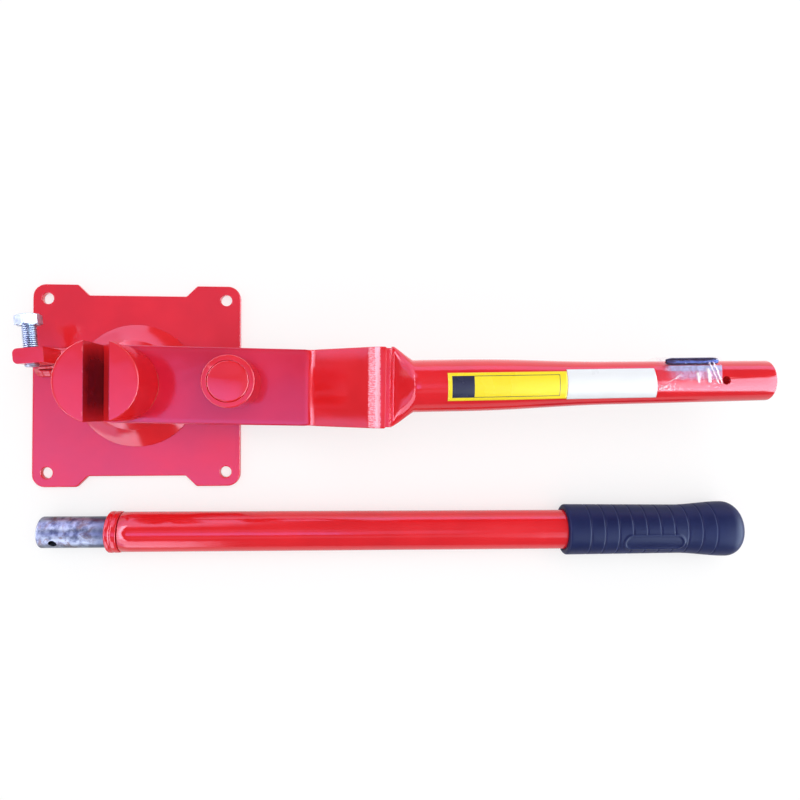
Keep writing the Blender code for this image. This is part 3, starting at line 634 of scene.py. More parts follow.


# ---------------------------------------------------------------------------
# Bending head
# A turned steel drum, milled across to take the bar. Its top is very slightly
# crowned and its rims are broken by hand. Its slot walls carry painted shade,
# darkest deep down and away from the slot's open ends.
# ---------------------------------------------------------------------------
head_low, head_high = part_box("bending_head")
slot_width = 0.0192
slot_offset = 0.0008
slot_floor_z = 0.0650
head_foot_rim = 0.0006
head_rim = 0.0008
head_crown = 0.00015
slot_rounding = 0.0005
slot_painted_shade = (0.042, 0.002, 0.005, 1)
slot_painted_shade_depth = 0.014
tool_reach = 0.05
tool_top_z = 0.12


def cutter_from(name, bm, place=None):
    """A hidden tool shape for a cut."""
    tool = add_shape(name, bm, place)
    tool.hide_render = True
    tool.hide_viewport = True
    tool.display_type = "WIRE"
    return tool


def block(low, high):
    """A plain box between two corners."""
    bm = bmesh.new()
    bmesh.ops.create_cube(bm, size=1.0)
    middle = (Vector(low) + Vector(high)) / 2
    span = Vector(high) - Vector(low)
    for corner in bm.verts:
        corner.co = middle + Vector(a * b for a, b in zip(corner.co, span))
    return bm


head_radius = head_high.x
head_height = head_high.z - head_low.z
head_profile = [(0, head_low.z), (head_radius - head_foot_rim, head_low.z), (head_radius, head_low.z + head_foot_rim)]
head_profile += [(head_radius, head_low.z + head_height * i / 12) for i in range(1, 12)]
rim_middle = (head_radius - head_rim, head_high.z - head_crown - head_rim)
head_profile += arc(rim_middle, head_rim, 0, math.pi / 2, 6)
for i in range(1, 16):
    share = 1 - i / 16
    head_profile.append(((head_radius - head_rim) * share, head_high.z - head_crown * share ** 2))
head_profile.append((0, head_high.z))
slot_tool = cutter_from("head_slot_tool", block(
    (slot_offset - slot_width / 2, -tool_reach, slot_floor_z),
    (slot_offset + slot_width / 2, tool_reach, tool_top_z)))
head_paint, head_tree, head_shader, head_effect = red_enamel("enamel_head", peel=0.4, runs=1.0)
head_place = object_place(head_tree)
head_spot = parts_of(head_place)
# Painted shade on the slot walls: darker with depth and away from the open ends, a little cloudy
slot_wall = calc("COMPARE", apart(head_spot["X"], slot_offset), slot_width / 2, 0.0004)
slot_open = ramp(calc("ABSOLUTE", head_spot["Y"]), 0.034, 0.012, 0.25, 1.0)
slot_deep = ramp(head_spot["Z"], head_high.z, head_high.z - slot_painted_shade_depth, 0.60, 1.0)
slot_cloud = ramp(grain(head_place, 0.006, 3.0), 0.2, 0.8, 0.75, 1.0)
slot_painted_shade_mask = times(slot_wall, slot_open, slot_deep, slot_cloud)
link(head_shader.inputs, Base_Color=blend_colours(slot_painted_shade_mask, head_effect.outputs["Color"], slot_painted_shade))
make_piece("slotted_head", turned(head_profile, 144), head_paint, "base", ["bending_head"],
           rounding=slot_rounding, steps=2, angle=40, cutters=[slot_tool])


# ---------------------------------------------------------------------------
# Stop foot and its weld
# A short bar arc-welded to the plate and coped round the pedestal. The bead
# was laid in one run round three sides, and the enamel went over its ripples.
# ---------------------------------------------------------------------------
foot_low, foot_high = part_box("stop_foot")
foot_inside_x = -0.0405
foot_buried_x = -0.030
foot_weld_leg = 0.0062
foot_rounding = 0.0012
cope_radius = 0.056
cope_top_radius = 0.0405
cope_top_z = 0.04
weld_gap = 0.0003
ripple_pitch = 0.0034
bead_bulge = 0.86


def bead_run(stations, level, leg, ripple=0.05, rise=1.0, closed=False):
    """A rippled bead along stations of (x, y, outward turn), standing up or hanging down."""
    rings = []
    run = 0.0
    for k, (x, y, turn) in enumerate(stations):
        if k:
            run += math.dist((x, y), stations[k - 1][:2]) + leg * abs(turn - stations[k - 1][2]) * 0.5
        wave = 0.5 + 0.5 * math.cos(2 * math.pi * run / ripple_pitch)
        lump = noise.noise(Vector((x * 160, y * 160, level * 160)))
        size = leg * (1 - ripple * (1 - wave) + 0.10 * lump)
        ring = [(x + weld_gap * math.cos(turn), y + weld_gap * math.sin(turn), level)]
        for i in range(9):
            lean = math.pi / 2 * i / 8
            reach = size * (bead_bulge + (1 - bead_bulge) * abs(math.cos(2 * lean)))
            out = weld_gap + reach * math.cos(lean)
            ring.append((x + out * math.cos(turn), y + out * math.sin(turn), level + rise * reach * math.sin(lean)))
        rings.append(ring)
    return skin(rings, closed=closed)


def straight_run(first, last, turn, step=0.0004):
    """Stations along a straight edge."""
    count = max(2, round(math.dist(first, last) / step))
    return [(first[0] + (last[0] - first[0]) * i / count, first[1] + (last[1] - first[1]) * i / count, turn)
            for i in range(count + 1)]


def swung(corner, start, end, count=14):
    """Stations that swing round one corner."""
    return [(*corner, start + (end - start) * i / count) for i in range(1, count)]


foot_room = turned([(0, 0), (cope_radius, 0), (cope_radius, pedestal_low.z)]
                   + [(radius + weld_gap, level + weld_gap) for radius, level in pedestal_flank]
                   + [(cope_top_radius, pedestal_high.z), (cope_top_radius, cope_top_z), (0, cope_top_z)], 96)
foot_tool = cutter_from("foot_cope_tool", foot_room)
foot_paint = red_enamel("enamel_stop", peel=0.5, runs=1.3)[0]
make_piece("stop_foot_bar", block(foot_low, (foot_buried_x, foot_high.y, foot_high.z)), foot_paint, "base",
           ["stop_foot"], rounding=foot_rounding, cutters=[foot_tool])
foot_far_corner = (foot_low.x, foot_high.y)
foot_near_corner = (foot_low.x, foot_low.y)
foot_stations = (straight_run((foot_inside_x, foot_high.y), foot_far_corner, math.pi / 2)
                 + swung(foot_far_corner, math.pi / 2, math.pi)
                 + straight_run(foot_far_corner, foot_near_corner, math.pi)
                 + swung(foot_near_corner, math.pi, 3 * math.pi / 2)
                 + straight_run(foot_near_corner, (foot_inside_x, foot_low.y), 3 * math.pi / 2))
weld_paint = red_enamel("enamel_weld", peel=0.4, runs=1.6)[0]
make_piece("stop_foot_bead", bead_run(foot_stations, foot_low.z, foot_weld_leg, 0.018), weld_paint,
           "base", ["stop_foot_weld"], cutters=[foot_tool])


# ---------------------------------------------------------------------------
# Stop lug
# A block sawn from flat bar, drilled across for the stop bolt, rounded at its
# free end and welded on top of the foot.
# ---------------------------------------------------------------------------
stop_place = Matrix.Translation((-0.0712, 0.023, 0)) @ Matrix.Rotation(math.radians(5.3), 4, "Z")
lug_low, lug_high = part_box("stop_lug")
lug_length = 0.0245
lug_thickness = 0.013
lug_corner_radius = 0.004
lug_rounding = 0.0010
lug_weld_leg = 0.0022
lug_bead_step = 0.0003
bolt_diameter = 0.012
bolt_play = 0.0003
bolt_side_shift = 0.0034
bolt_drop = 0.014
bolt_axis = (Matrix.Translation((-bolt_side_shift, 0, lug_high.z - bolt_drop))
             @ Matrix.Rotation(-math.pi / 2, 4, "X"))


def rod(diameter, low, high, steps=48):
    """A cylinder on Z, to cut a hole with."""
    return turned([(0, low), (diameter / 2, low), (diameter / 2, high), (0, high)], steps)


half_x = lug_length / 2
half_y = lug_thickness / 2
round_x = lug_corner_radius - half_x
lug_outline = [(half_x, -half_y), (half_x, half_y)]
lug_outline += arc((round_x, half_y - lug_corner_radius), lug_corner_radius, math.pi / 2, math.pi, 6)
lug_outline += arc((round_x, lug_corner_radius - half_y), lug_corner_radius, math.pi, 3 * math.pi / 2, 6)
lug_bm = skin([[(x, y, level) for x, y in lug_outline] for level in (lug_low.z, lug_high.z)])
bolt_hole_tool = cutter_from("bolt_hole_tool", rod(bolt_diameter + 2 * bolt_play, -0.02, 0.02), stop_place @ bolt_axis)
make_piece("stop_lug_block", lug_bm, foot_paint, "base", ["stop_lug"], stop_place,
           rounding=lug_rounding, cutters=[bolt_hole_tool])
lug_stations = (straight_run((round_x, -half_y), (half_x, -half_y), -math.pi / 2, lug_bead_step)
                + swung((half_x, -half_y), -math.pi / 2, 0)
                + straight_run((half_x, -half_y), (half_x, half_y - lug_weld_leg), 0, lug_bead_step))
make_piece("stop_lug_bead", bead_run(lug_stations, lug_low.z, lug_weld_leg, 0.04), weld_paint,
           "base", ["stop_lug_weld"], stop_place)


# ---------------------------------------------------------------------------
# Stop bolt
# A bright zinc-plated M12 hexagon bolt with a full rolled thread. It screws
# through the lug and sets how far the lever can swing.
# ---------------------------------------------------------------------------
bolt_pitch = 0.00175
bolt_thread_depth = 0.00095
bolt_length = 0.035
bolt_head_flats = 0.019
bolt_head_height = 0.0092
bolt_head_edge = 0.0006
bolt_collar_height = 0.0006
bolt_head_chamfer = 0.0011
bolt_corner_wear = 0.015
bolt_corner_reach = 0.01085
bolt_exposed_length = 0.0202
bolt_point = 0.0012
bolt_steps = 48
thread_steps = 10
zinc_light = (0.47, 0.53, 0.62, 1)
zinc_dark = (0.38, 0.44, 0.55, 1)
zinc_thread_painted_shade = (0.10, 0.13, 0.20, 1)


def bolt_ring(z, radius):
    """One ring of the bolt. The radius is worked out from the turn."""
    return [(radius(turn) * math.cos(turn), radius(turn) * math.sin(turn), z) for turn in all_round(bolt_steps)]


def thread_ring(z):
    """One ring of the thread, with the bolt's point broken."""
    def radius(turn):
        phase = (z / bolt_pitch - turn / (2 * math.pi)) % 1.0
        tooth = min(1.0, 2.6 * abs(phase - 0.5))
        return min(bolt_diameter / 2 - bolt_thread_depth * (1 - tooth),
                   bolt_diameter / 2 - bolt_point + (z + bolt_length) * 1.2)
    return bolt_ring(z, radius)


def hexagon_ring(flats, z, wear=bolt_corner_wear, limit=math.inf):
    """One ring of the hexagon head, with worn corners held inside a round limit."""
    def radius(turn):
        from_flat = (turn + math.pi / 6) % (math.pi / 3) - math.pi / 6
        return min(flats / 2 / math.cos(from_flat) * (1 - wear * (abs(from_flat) / (math.pi / 6)) ** 6), limit)
    return bolt_ring(z, radius)


ring_count = round(bolt_length / bolt_pitch * thread_steps)
bolt_rings = [thread_ring(-bolt_length + bolt_length * k / ring_count) for k in range(ring_count + 1)]
for radius, z in ((bolt_diameter / 2 + bolt_head_edge, 0.0), (bolt_head_flats / 2 - bolt_head_edge, 0.0),
                  (bolt_head_flats / 2 - bolt_head_edge, bolt_collar_height)):
    bolt_rings.append(bolt_ring(z, lambda turn: radius))
bolt_rings.append(hexagon_ring(bolt_head_flats - bolt_head_edge, bolt_collar_height, 0.0))
bolt_rings.append(hexagon_ring(bolt_head_flats, bolt_collar_height + 0.0003))
for i in range(5):
    share = i / 4
    bolt_rings.append(hexagon_ring(bolt_head_flats, bolt_head_height - bolt_head_chamfer * (1 - share),
                                   limit=bolt_corner_reach - 2 * bolt_head_chamfer * share))
bolt_rings.append(bolt_ring(bolt_head_height, lambda turn: bolt_head_flats / 2 - 0.0020))
bolt_rings.append(bolt_ring(bolt_head_height - 0.00012, lambda turn: bolt_head_flats / 2 - 0.0028))
bolt_zinc, bolt_tree, bolt_shader, bolt_effect = worked_metal(
    "bright_zinc", zinc_light, zinc_dark, 0.34, 240.0, 1800.0, 0.000001)
bolt_place = stop_place @ bolt_axis @ Matrix.Translation((0, 0, half_y + bolt_exposed_length))
bolt_head_y = bolt_place.translation.y
# Painted shade in the shank's thread grooves, which are darkened towards a deep blue-grey; the head is left clear
bolt_share = ramp(parts_of(object_place(bolt_tree))["Y"], bolt_head_y + 0.0004, bolt_head_y - 0.0010)
bolt_groove_shade = ramp(add_node(bolt_tree, "ShaderNodeNewGeometry").outputs["Pointiness"], 0.52, 0.44)
bolt_colour = blend_colours(times(bolt_share, bolt_groove_shade), bolt_effect.outputs["Color"], zinc_thread_painted_shade)
link(bolt_shader.inputs, Base_Color=bolt_colour)
stop_bolt = make_piece("threaded_stop_bolt", skin(bolt_rings), bolt_zinc, "bolt", ["stop_bolt"],
                       bolt_place, even=False)
stop_bolt.data.set_sharp_from_angle(angle=math.radians(28))


# ---------------------------------------------------------------------------
# Lever bar
# Hot-rolled 66 x 10 flat bar, cranked upward in a press. The press has left
# the paint rough along both bends, and the eye is rounded round the pivot.
# ---------------------------------------------------------------------------
lever_place = Matrix.Rotation(math.radians(-1.0), 4, "Z")
bar_width = 0.066
bar_thickness = 0.010
bar_base_z = 0.0420
bar_flat_length = 0.1599
bar_ramp_run = 0.0549
bar_rise = 0.044
bar_end_x = 0.223
bar_end_trim = 0.0012
bar_edge = 0.0011
bar_rounding = 0.0003
bar_bend_draw = 0.0003
bar_camber = 0.0007
camber_width = 0.016
low_bend_radius = 0.016
low_mark_offset = 0.007
rubbed_offset = 0.0056
crease_leans = (31, 25)
crease_run = 0.0077
crease_drop = 0.0042
crease_reach = 0.0005
crease_mark_margin = 0.0025
scuff_highlight_colour = (0.88, 0.36, 0.42, 1)
scuff_highlight_leans = (0.61, 0.49, 0.22)
hub_bore = 0.0492
roller_distance = 0.0968
roller_side_offset = 0.0025
roller_pin_diameter = 0.0334
roller_pin_play = 0.0006
roller_place = lever_place @ Matrix.Translation((roller_distance, roller_side_offset, 0))


def mix(first, second, share):
    return first + (second - first) * share


def ease(share):
    return share * share * (3 - 2 * share)


def near(value, middle, outer, inner, start=0.0, end=1.0):
    """A smooth step from start, outer away from a middle, to end at inner away."""
    return ramp(apart(value, middle), outer, inner, start, end)


def bar_section(x, z, lean, half_width, camber=0.0):
    """One rounded section of the bar, square to its run, with its top rolled off at both sides."""
    half = bar_thickness / 2
    edge = min(bar_edge, half_width * 0.5)
    flat = half_width - edge
    outline = []
    for up, start in ((1, 0), (-1, math.pi)):
        outline += arc((up * flat, up * (half - edge)), edge, start, start + math.pi / 2, 4)
        outline += [(up * flat * (1 - i / 8), up * half) for i in range(1, 16)]
        outline += arc((-up * flat, up * (half - edge)), edge, start + math.pi / 2, start + math.pi, 4)
    ring = []
    for side, rise in outline:
        if rise > 0:
            rise -= camber * max(0.0, 1 - (half_width - abs(side)) / camber_width) ** 2
        ring.append((x - rise * math.sin(lean), side, z + rise * math.cos(lean)))
    return ring


bar_lean = math.atan2(bar_rise, bar_ramp_run)
low_radius = low_bend_radius + bar_thickness / 2
bend_drop = math.tan(bar_lean / 2)
bend_corner_x = bar_flat_length + bar_thickness / 2 * bend_drop
first_x = bend_corner_x - low_radius * bend_drop
second_x = bend_corner_x + crease_run + (bar_rise - crease_drop) * bar_ramp_run / bar_rise
bar_low_z = bar_base_z + bar_thickness / 2
bar_high_z = bar_low_z + bar_rise
bar_rings = []
for i in range(25):
    turn = math.pi / 2 * (1 - i / 24)
    half_width = bar_width / 2 * max(math.cos(turn), 0.03)
    bar_rings.append(bar_section(-bar_width / 2 * math.sin(turn), bar_low_z, 0, half_width))
for i in range(1, 41):
    bar_rings.append(bar_section(first_x * i / 40, bar_low_z, 0, bar_width / 2))
for i in range(17):
    turn = bar_lean * i / 16
    bar_rings.append(bar_section(
        first_x + low_radius * math.sin(turn), bar_low_z + low_radius * (1 - math.cos(turn)), turn,
        bar_width / 2 - bar_bend_draw * math.sin(math.pi * i / 16), bar_camber * i / 16))
ramp_start = Vector((first_x + low_radius * math.sin(bar_lean), bar_low_z + low_radius * (1 - math.cos(bar_lean))))
ramp_end = Vector((second_x - crease_run, bar_high_z - crease_drop))
for i in range(1, 16):
    along = ramp_start.lerp(ramp_end, i / 16)
    bar_rings.append(bar_section(along.x, along.y, bar_lean, bar_width / 2, bar_camber))

# The press tool leaves two narrow flats where the bar bends back to level
crease_ways = [Vector((math.cos(lean), math.sin(lean))) for lean in
               (bar_lean, math.radians(crease_leans[0]), math.radians(crease_leans[1]), 0.0)]
crease_end = Vector((second_x, bar_high_z))
first_flat = (crease_end - ramp_end).cross(crease_ways[2]) / crease_ways[1].cross(crease_ways[2])
crease_corners = [ramp_end, ramp_end + crease_ways[1] * first_flat, crease_end]
scuff_highlight_start, scuff_highlight_middle, scuff_highlight_stop = (corner.x - bar_thickness / 2 * math.sin(lean)
                                         for corner, lean in zip(crease_corners, scuff_highlight_leans))
for corner, before, after, kept in zip(crease_corners, crease_ways, crease_ways[1:], (0.7, 0.35, 0.0)):
    for spot, way in ((corner - before * crease_reach, before), (corner, before + after),
                      (corner + after * crease_reach, after)):
        bar_rings.append(bar_section(spot.x, spot.y, math.atan2(way.y, way.x), bar_width / 2, bar_camber * kept))
for share, trim in ((0.3, 0), (0.55, 0), (0.75, 0.25), (1.0, 1.0)):
    bar_rings.append(bar_section(mix(second_x, bar_end_x, share), bar_high_z, 0, bar_width / 2 - bar_end_trim * trim))

hub_tool = cutter_from("hub_hole_tool", rod(hub_bore, 0.03, 0.06, 96), lever_place)
pin_tool = cutter_from("pin_hole_tool", rod(roller_pin_diameter + roller_pin_play, 0.03, 0.06, 96), roller_place)
bar_paint, bar_tree, bar_shader, bar_effect = red_enamel("enamel_bar", peel=0.55, runs=0.9)
bar_place = object_place(bar_tree)
bar_spot = parts_of(bar_place)
bar_along = bar_spot["X"]
low_mark = near(bar_along, first_x + low_mark_offset, 0.011, 0.004)
high_mark = near(bar_along, (scuff_highlight_start + scuff_highlight_stop) / 2, crease_run / 2 + crease_mark_margin, crease_run / 2)
link(bar_effect.inputs, Press_Marks=most(times(low_mark, 0.25), high_mark))
# The tool has rubbed the middle of the low bend dull
low_bend_y = (lever_place @ Vector((first_x, 0, 0))).y
rubbed = times(near(bar_spot["Y"], low_bend_y, 0.025, 0.010, 0.0, 0.26),
               near(bar_along, first_x + rubbed_offset, 0.0040, 0.0008))
# Painted shade: the flat part is darkened, with its hue shifted a little, up to the foot of the ramp
ramp_foot = (bend_corner_x - 0.008, bend_corner_x - 0.002)
bar_colour_painted_shade = add_node(bar_tree, "ShaderNodeHueSaturation",
                      {"Hue": ramp(bar_along, *ramp_foot, 0.4935, 0.5),
                       "Value": ramp(bar_along, *ramp_foot, 0.80, 1.0),
                       "Color": bar_effect.outputs["Color"]}).outputs[0]
# The press has scuffed the paint pale along the upper bend, most of all on its second flat; the pale strip is also a
# painted highlight of the bend
scuff_highlight_grain = grain(drawn_out(bar_place, (0.45, 1.0, 0.45)), 0.0012, 3.0, 0.7)
scuff_highlight_along = plus(bar_along, times(minus(scuff_highlight_grain, 0.5), 0.0040))
scuff_highlight_end = ramp(scuff_highlight_along, scuff_highlight_stop + 0.0002, scuff_highlight_stop - 0.0003)
scuff_highlight_soft = times(ramp(scuff_highlight_along, scuff_highlight_start - 0.0002, scuff_highlight_start + 0.0004), scuff_highlight_end,
                   ramp(scuff_highlight_grain, 0.42, 0.60, 0.15, 0.70))
scuff_highlight_hard = times(ramp(scuff_highlight_along, scuff_highlight_middle - 0.0002, scuff_highlight_middle + 0.0006), scuff_highlight_end,
                   ramp(scuff_highlight_grain, 0.32, 0.42, 0.30, 0.92))
link(bar_shader.inputs, Roughness=most(bar_effect.outputs["Roughness"], rubbed),
     Base_Color=blend_colours(most(scuff_highlight_soft, scuff_highlight_hard), bar_colour_painted_shade, scuff_highlight_colour))
make_piece("cranked_bar", skin(bar_rings), bar_paint, "lever", ["lever_bar"], lever_place,
           rounding=bar_rounding, steps=1, angle=60, cutters=[hub_tool, pin_tool])


# ---------------------------------------------------------------------------
# Pivot hub
# A steel sleeve with a pressed-in bronze bush, welded under the bar. It turns
# on the spindle between the two thrust washers.
# ---------------------------------------------------------------------------
hub_low, hub_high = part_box("hub_sleeve")
hub_diameter = 0.058
hub_weld_leg = 0.0035


def ring_bead(diameter, leg, step=0.0005):
    """A bead all the way round a cylinder under the bar."""
    count = round(math.pi * diameter / step)
    stations = [(diameter / 2 * math.cos(turn), diameter / 2 * math.sin(turn), turn) for turn in all_round(count)]
    return bead_run(stations, bar_base_z - weld_gap, leg, rise=-1.0, closed=True)


hub_profile = soft_profile([
    (hub_bore / 2, hub_low.z, 0.0004), (hub_diameter / 2, hub_low.z, 0.0008),
    (hub_diameter / 2, hub_high.z, 0.0004), (hub_bore / 2, hub_high.z, 0)], closed=True)
hub_paint = red_enamel("enamel_hub", peel=0.5, runs=1.0)[0]
make_piece("hub_tube", turned(hub_profile), hub_paint, "lever", ["hub_sleeve"])
dress_node("hub_bush", washer_bronze)
make_piece("hub_bead", ring_bead(hub_diameter, hub_weld_leg), weld_paint, "lever", ["hub_weld"])


# ---------------------------------------------------------------------------
# Roller on its pin
# A steel sleeve that turns on a fat pin welded through the bar. A snap ring
# in a hidden groove holds it. Both were enamelled together, so the rims are soft.
# ---------------------------------------------------------------------------
roller_low, roller_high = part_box("roller_sleeve")
roller_pin_low, roller_pin_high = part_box("roller_pin")
roller_diameter = 0.0424
roller_bore = roller_pin_diameter + 0.0002
roller_rim = 0.0010
roller_pin_foot_rim = 0.0008
roller_pin_top_rim = 0.0014
roller_pin_crown = 0.0007
roller_weld_leg = 0.0035

pin_radius = roller_pin_diameter / 2
pin_profile = [(0, roller_pin_low.z), (pin_radius - roller_pin_foot_rim, roller_pin_low.z),
               (pin_radius, roller_pin_low.z + roller_pin_foot_rim), (pin_radius, roller_pin_low.z + 0.01),
               (pin_radius, roller_pin_high.z - 0.004)]
crown_radius = pin_radius - roller_pin_top_rim
pin_profile += arc((crown_radius, roller_pin_high.z - roller_pin_crown - roller_pin_top_rim), roller_pin_top_rim,
                   0, math.pi / 2 - 0.07, 6)
for i in range(1, 10):
    share = 1 - i / 10
    pin_profile.append((crown_radius * share, roller_pin_high.z - roller_pin_crown * share ** 2))
pin_profile.append((0, roller_pin_high.z))
roller_paint = red_enamel("enamel_roller", peel=0.4, runs=1.0)[0]
make_piece("roller_pin_turned", turned(pin_profile), roller_paint, "lever", ["roller_pin"],
           roller_place)
sleeve_profile = soft_profile([
    (roller_bore / 2, roller_low.z, 0.0004), (roller_diameter / 2, roller_low.z, roller_rim),
    (roller_diameter / 2, roller_high.z, roller_rim), (roller_bore / 2, roller_high.z, 0.0004)], closed=True)
make_piece("roller_turned", turned(sleeve_profile), roller_paint, "roller", ["roller_sleeve"],
           roller_place)
make_piece("roller_pin_bead", ring_bead(roller_pin_diameter, roller_weld_leg), weld_paint,
           "lever", ["roller_pin_weld"], roller_place)
dress_node("roller_retaining_ring", spindle_steel)


# ---------------------------------------------------------------------------
# Lever tube with its butt weld
# 42.4 mm steel tube, pressed flat where it is welded to the bar and swaged
# down to a socket at its far end, which is cross-drilled for the handle's pin.
# ---------------------------------------------------------------------------
tube_turn = math.radians(2.1)
tube_place = (lever_place @ Matrix.Translation((0.2265, 0.0011, bar_high_z))
              @ Matrix.Rotation(tube_turn, 4, "Z"))
tube_diameter = 0.0424
tube_waist_diameter = 0.0358
tube_socket_diameter = 0.0337
tube_wall = 0.0028
tube_length = 0.3175
tube_rounding = 0.0004
mouth_width = 0.0648
mouth_thickness = 0.0074
mouth_length = 0.002
mouth_taper_length = 0.016
mouth_softening = 0.55
full_tube_length = 0.0635
swage_length = 0.120
socket_round = 0.0010
socket_round_length = 0.0012
socket_bore_round = 0.0006
cross_hole_diameter = 0.007
cross_hole_distance = 0.044
weld_steps = ((-0.0010, 0.00490), (-0.0006, 0.00506), (0.0008, 0.00508), (0.0019, 0.00512), (0.0023, 0.00530),
              (0.0027, 0.00552), (0.0031, 0.00545), (0.0036, 0.00490), (0.0040, 0.00420), (0.0045, 0.00360))
tube_steps = 96


def tube_radius(x):
    """Outer radius of the lever tube past its mouth."""
    swage_end = full_tube_length + swage_length
    if x < full_tube_length:
        return tube_diameter / 2
    if x < swage_end:
        return mix(tube_diameter, tube_waist_diameter, ease((x - full_tube_length) / swage_length)) / 2
    return mix(tube_waist_diameter, tube_socket_diameter, (x - swage_end) / (tube_length - swage_end)) / 2


def tube_ring(x, width, height, shear=0.0, soften=0.0):
    """Evenly spaced points round a pressed tube, leaned by the shear and softened to an oval."""
    straight = width - height
    quarter_run = math.pi * height / 4
    whole = 2 * straight + 4 * quarter_run
    points = []
    for i in range(tube_steps):
        along = whole * i / tube_steps
        mirror = along >= whole / 2
        rest = along - whole / 2 if mirror else along
        if rest < straight / 2:
            side, rise = rest, height / 2
        elif rest < straight / 2 + 2 * quarter_run:
            turn = 2 * (rest - straight / 2) / height
            side = straight / 2 + height / 2 * math.sin(turn)
            rise = height / 2 * math.cos(turn)
        else:
            side, rise = whole / 2 - rest, -height / 2
        if mirror:
            side, rise = -side, -rise
        if soften:
            turn = math.atan2(side / width, rise / height)
            side = mix(side, width / 2 * math.sin(turn), soften)
            rise = mix(rise, height / 2 * math.cos(turn), soften)
        points.append((x + side * shear, side, rise))
    return points


def quarter_turns(count):
    """Even turns up to a quarter, without the first."""
    return [math.pi / 2 * i / count for i in range(1, count + 1)]


square_off = math.tan(tube_turn)
swage_end = full_tube_length + swage_length
tube_rings = [tube_ring(mouth_length * i / 3, mouth_width, mouth_thickness, square_off) for i in range(4)]
for i in range(1, 25):
    share = i / 24
    swell = mix(share, ease(share), 0.15)
    tube_rings.append(tube_ring(
        mouth_length + mouth_taper_length * share, mix(mouth_width, tube_diameter, swell),
        mix(mouth_thickness, tube_diameter, swell), square_off * (1 - share),
        mouth_softening * math.sin(math.pi * share)))
tube_stations = [mix(mouth_length + mouth_taper_length, full_tube_length, i / 8) for i in range(1, 9)]
tube_stations += [full_tube_length + swage_length * i / 20 for i in range(1, 21)]
tube_stations += [mix(swage_end, tube_length - socket_round_length, i / 16) for i in range(1, 17)]
round_part = [(x, tube_radius(x)) for x in tube_stations]
round_part += [(tube_length - socket_round_length * (1 - math.sin(turn)),
                tube_socket_diameter / 2 - socket_round * (1 - math.cos(turn))) for turn in quarter_turns(8)]
round_part += [(tube_length - socket_bore_round * (1 - math.cos(turn)),
                tube_socket_diameter / 2 - tube_wall + socket_bore_round * (1 - math.sin(turn)))
               for turn in quarter_turns(4)]
round_part += [(x, tube_radius(x) - tube_wall)
               for x in (tube_length * 0.75, swage_end, full_tube_length + swage_length / 2, full_tube_length,
                         mouth_length + mouth_taper_length + tube_wall)]
tube_rings += [tube_ring(x, 2 * radius, 2 * radius) for x, radius in round_part]
cross_hole_tool = cutter_from("cross_hole_tool", rod(cross_hole_diameter, -0.03, 0.03),
                              tube_place @ Matrix.Translation((tube_length - cross_hole_distance, 0, 0)))
tube_paint = red_enamel("enamel_tube", peel=0.45, runs=1.0)[0]
make_piece("pressed_tube", skin(tube_rings), tube_paint, "lever", ["lever_tube"], tube_place,
           rounding=tube_rounding, steps=2, angle=45, cutters=[cross_hole_tool], even=False)

weld_rings = []
for run, rise in weld_steps:
    ring = []
    for k in range(140):
        along = mix(-1, 1, k / 139) * (bar_width / 2 - bar_end_trim)
        ripple = math.cos(2 * math.pi * along / ripple_pitch) + 2 * noise.noise(Vector((along * 90, 3.0, 5.0)))
        swell = 0.00008 * ripple * ease(min(1, max(0, (run - 0.0015) / 0.001)))
        ring.append((bar_end_x + run + swell, along, bar_high_z + rise + swell))
    weld_rings.append(ring + [(x, y, 2 * bar_high_z - z) for x, y, z in reversed(ring)])
make_piece("butt_weld_bead", skin(weld_rings), weld_paint, "lever", ["lever_weld"], lever_place)


# ---------------------------------------------------------------------------
# Foil labels
# Two self-adhesive labels wrapped over the tube, end to end. The yellow one
# has a thin dark frame and a navy field, and both are left without print.
# ---------------------------------------------------------------------------
foil_thickness = 0.0002
foil_lift = 0.0003
foil_sink = 0.0001
yellow_start = 0.0438
yellow_length = 0.0965
yellow_width = 0.0232
yellow_turn = math.radians(-5.5)
white_start = 0.1406
white_length = 0.0740
white_width = 0.0258
white_turn = math.radians(-4.0)
white_slant = -0.002
foil_yellow = (0.90, 0.72, 0.012, 1)
foil_white = (0.78, 0.80, 0.83, 1)
foil_ink = (0.020, 0.022, 0.055, 1)
frame_start = 0.0036
frame_end = 0.0062
frame_inset = 0.0030
frame_line = 0.0005
field_length = 0.0175


def over_tube(x, radius, turn):
    """A point over the lever tube, turned from its top towards +Y."""
    return (x, radius * math.sin(turn), radius * math.cos(turn))


def thin_sheet(columns, rows, spot_at):
    """A closed thin body. Each spot is its outer point, its inner point and its plan for the finish."""
    bm = bmesh.new()
    plan = bm.loops.layers.uv.new("plan")
    spots = [[spot_at(k / columns, i / rows) for i in range(rows + 1)] for k in range(columns + 1)]
    outer, inner = ([[bm.verts.new(spot[side]) for spot in row] for row in spots] for side in (0, 1))
    layout = {}
    for grid in (outer, inner):
        for verts, row in zip(grid, spots):
            layout.update((vert, spot[2]) for vert, spot in zip(verts, row))
        for first, second in zip(grid, grid[1:]):
            for i in range(rows):
                bm.faces.new((first[i], first[i + 1], second[i + 1], second[i]))
    for end in (0, -1):
        for i in range(rows):
            bm.faces.new((outer[end][i], outer[end][i + 1], inner[end][i + 1], inner[end][i]))
    for k in range(columns):
        for i in (0, -1):
            bm.faces.new((outer[k][i], outer[k + 1][i], inner[k + 1][i], inner[k][i]))
    for face in bm.faces:
        for corner in face.loops:
            corner[plan].uv = layout[corner.vert]
    return bm


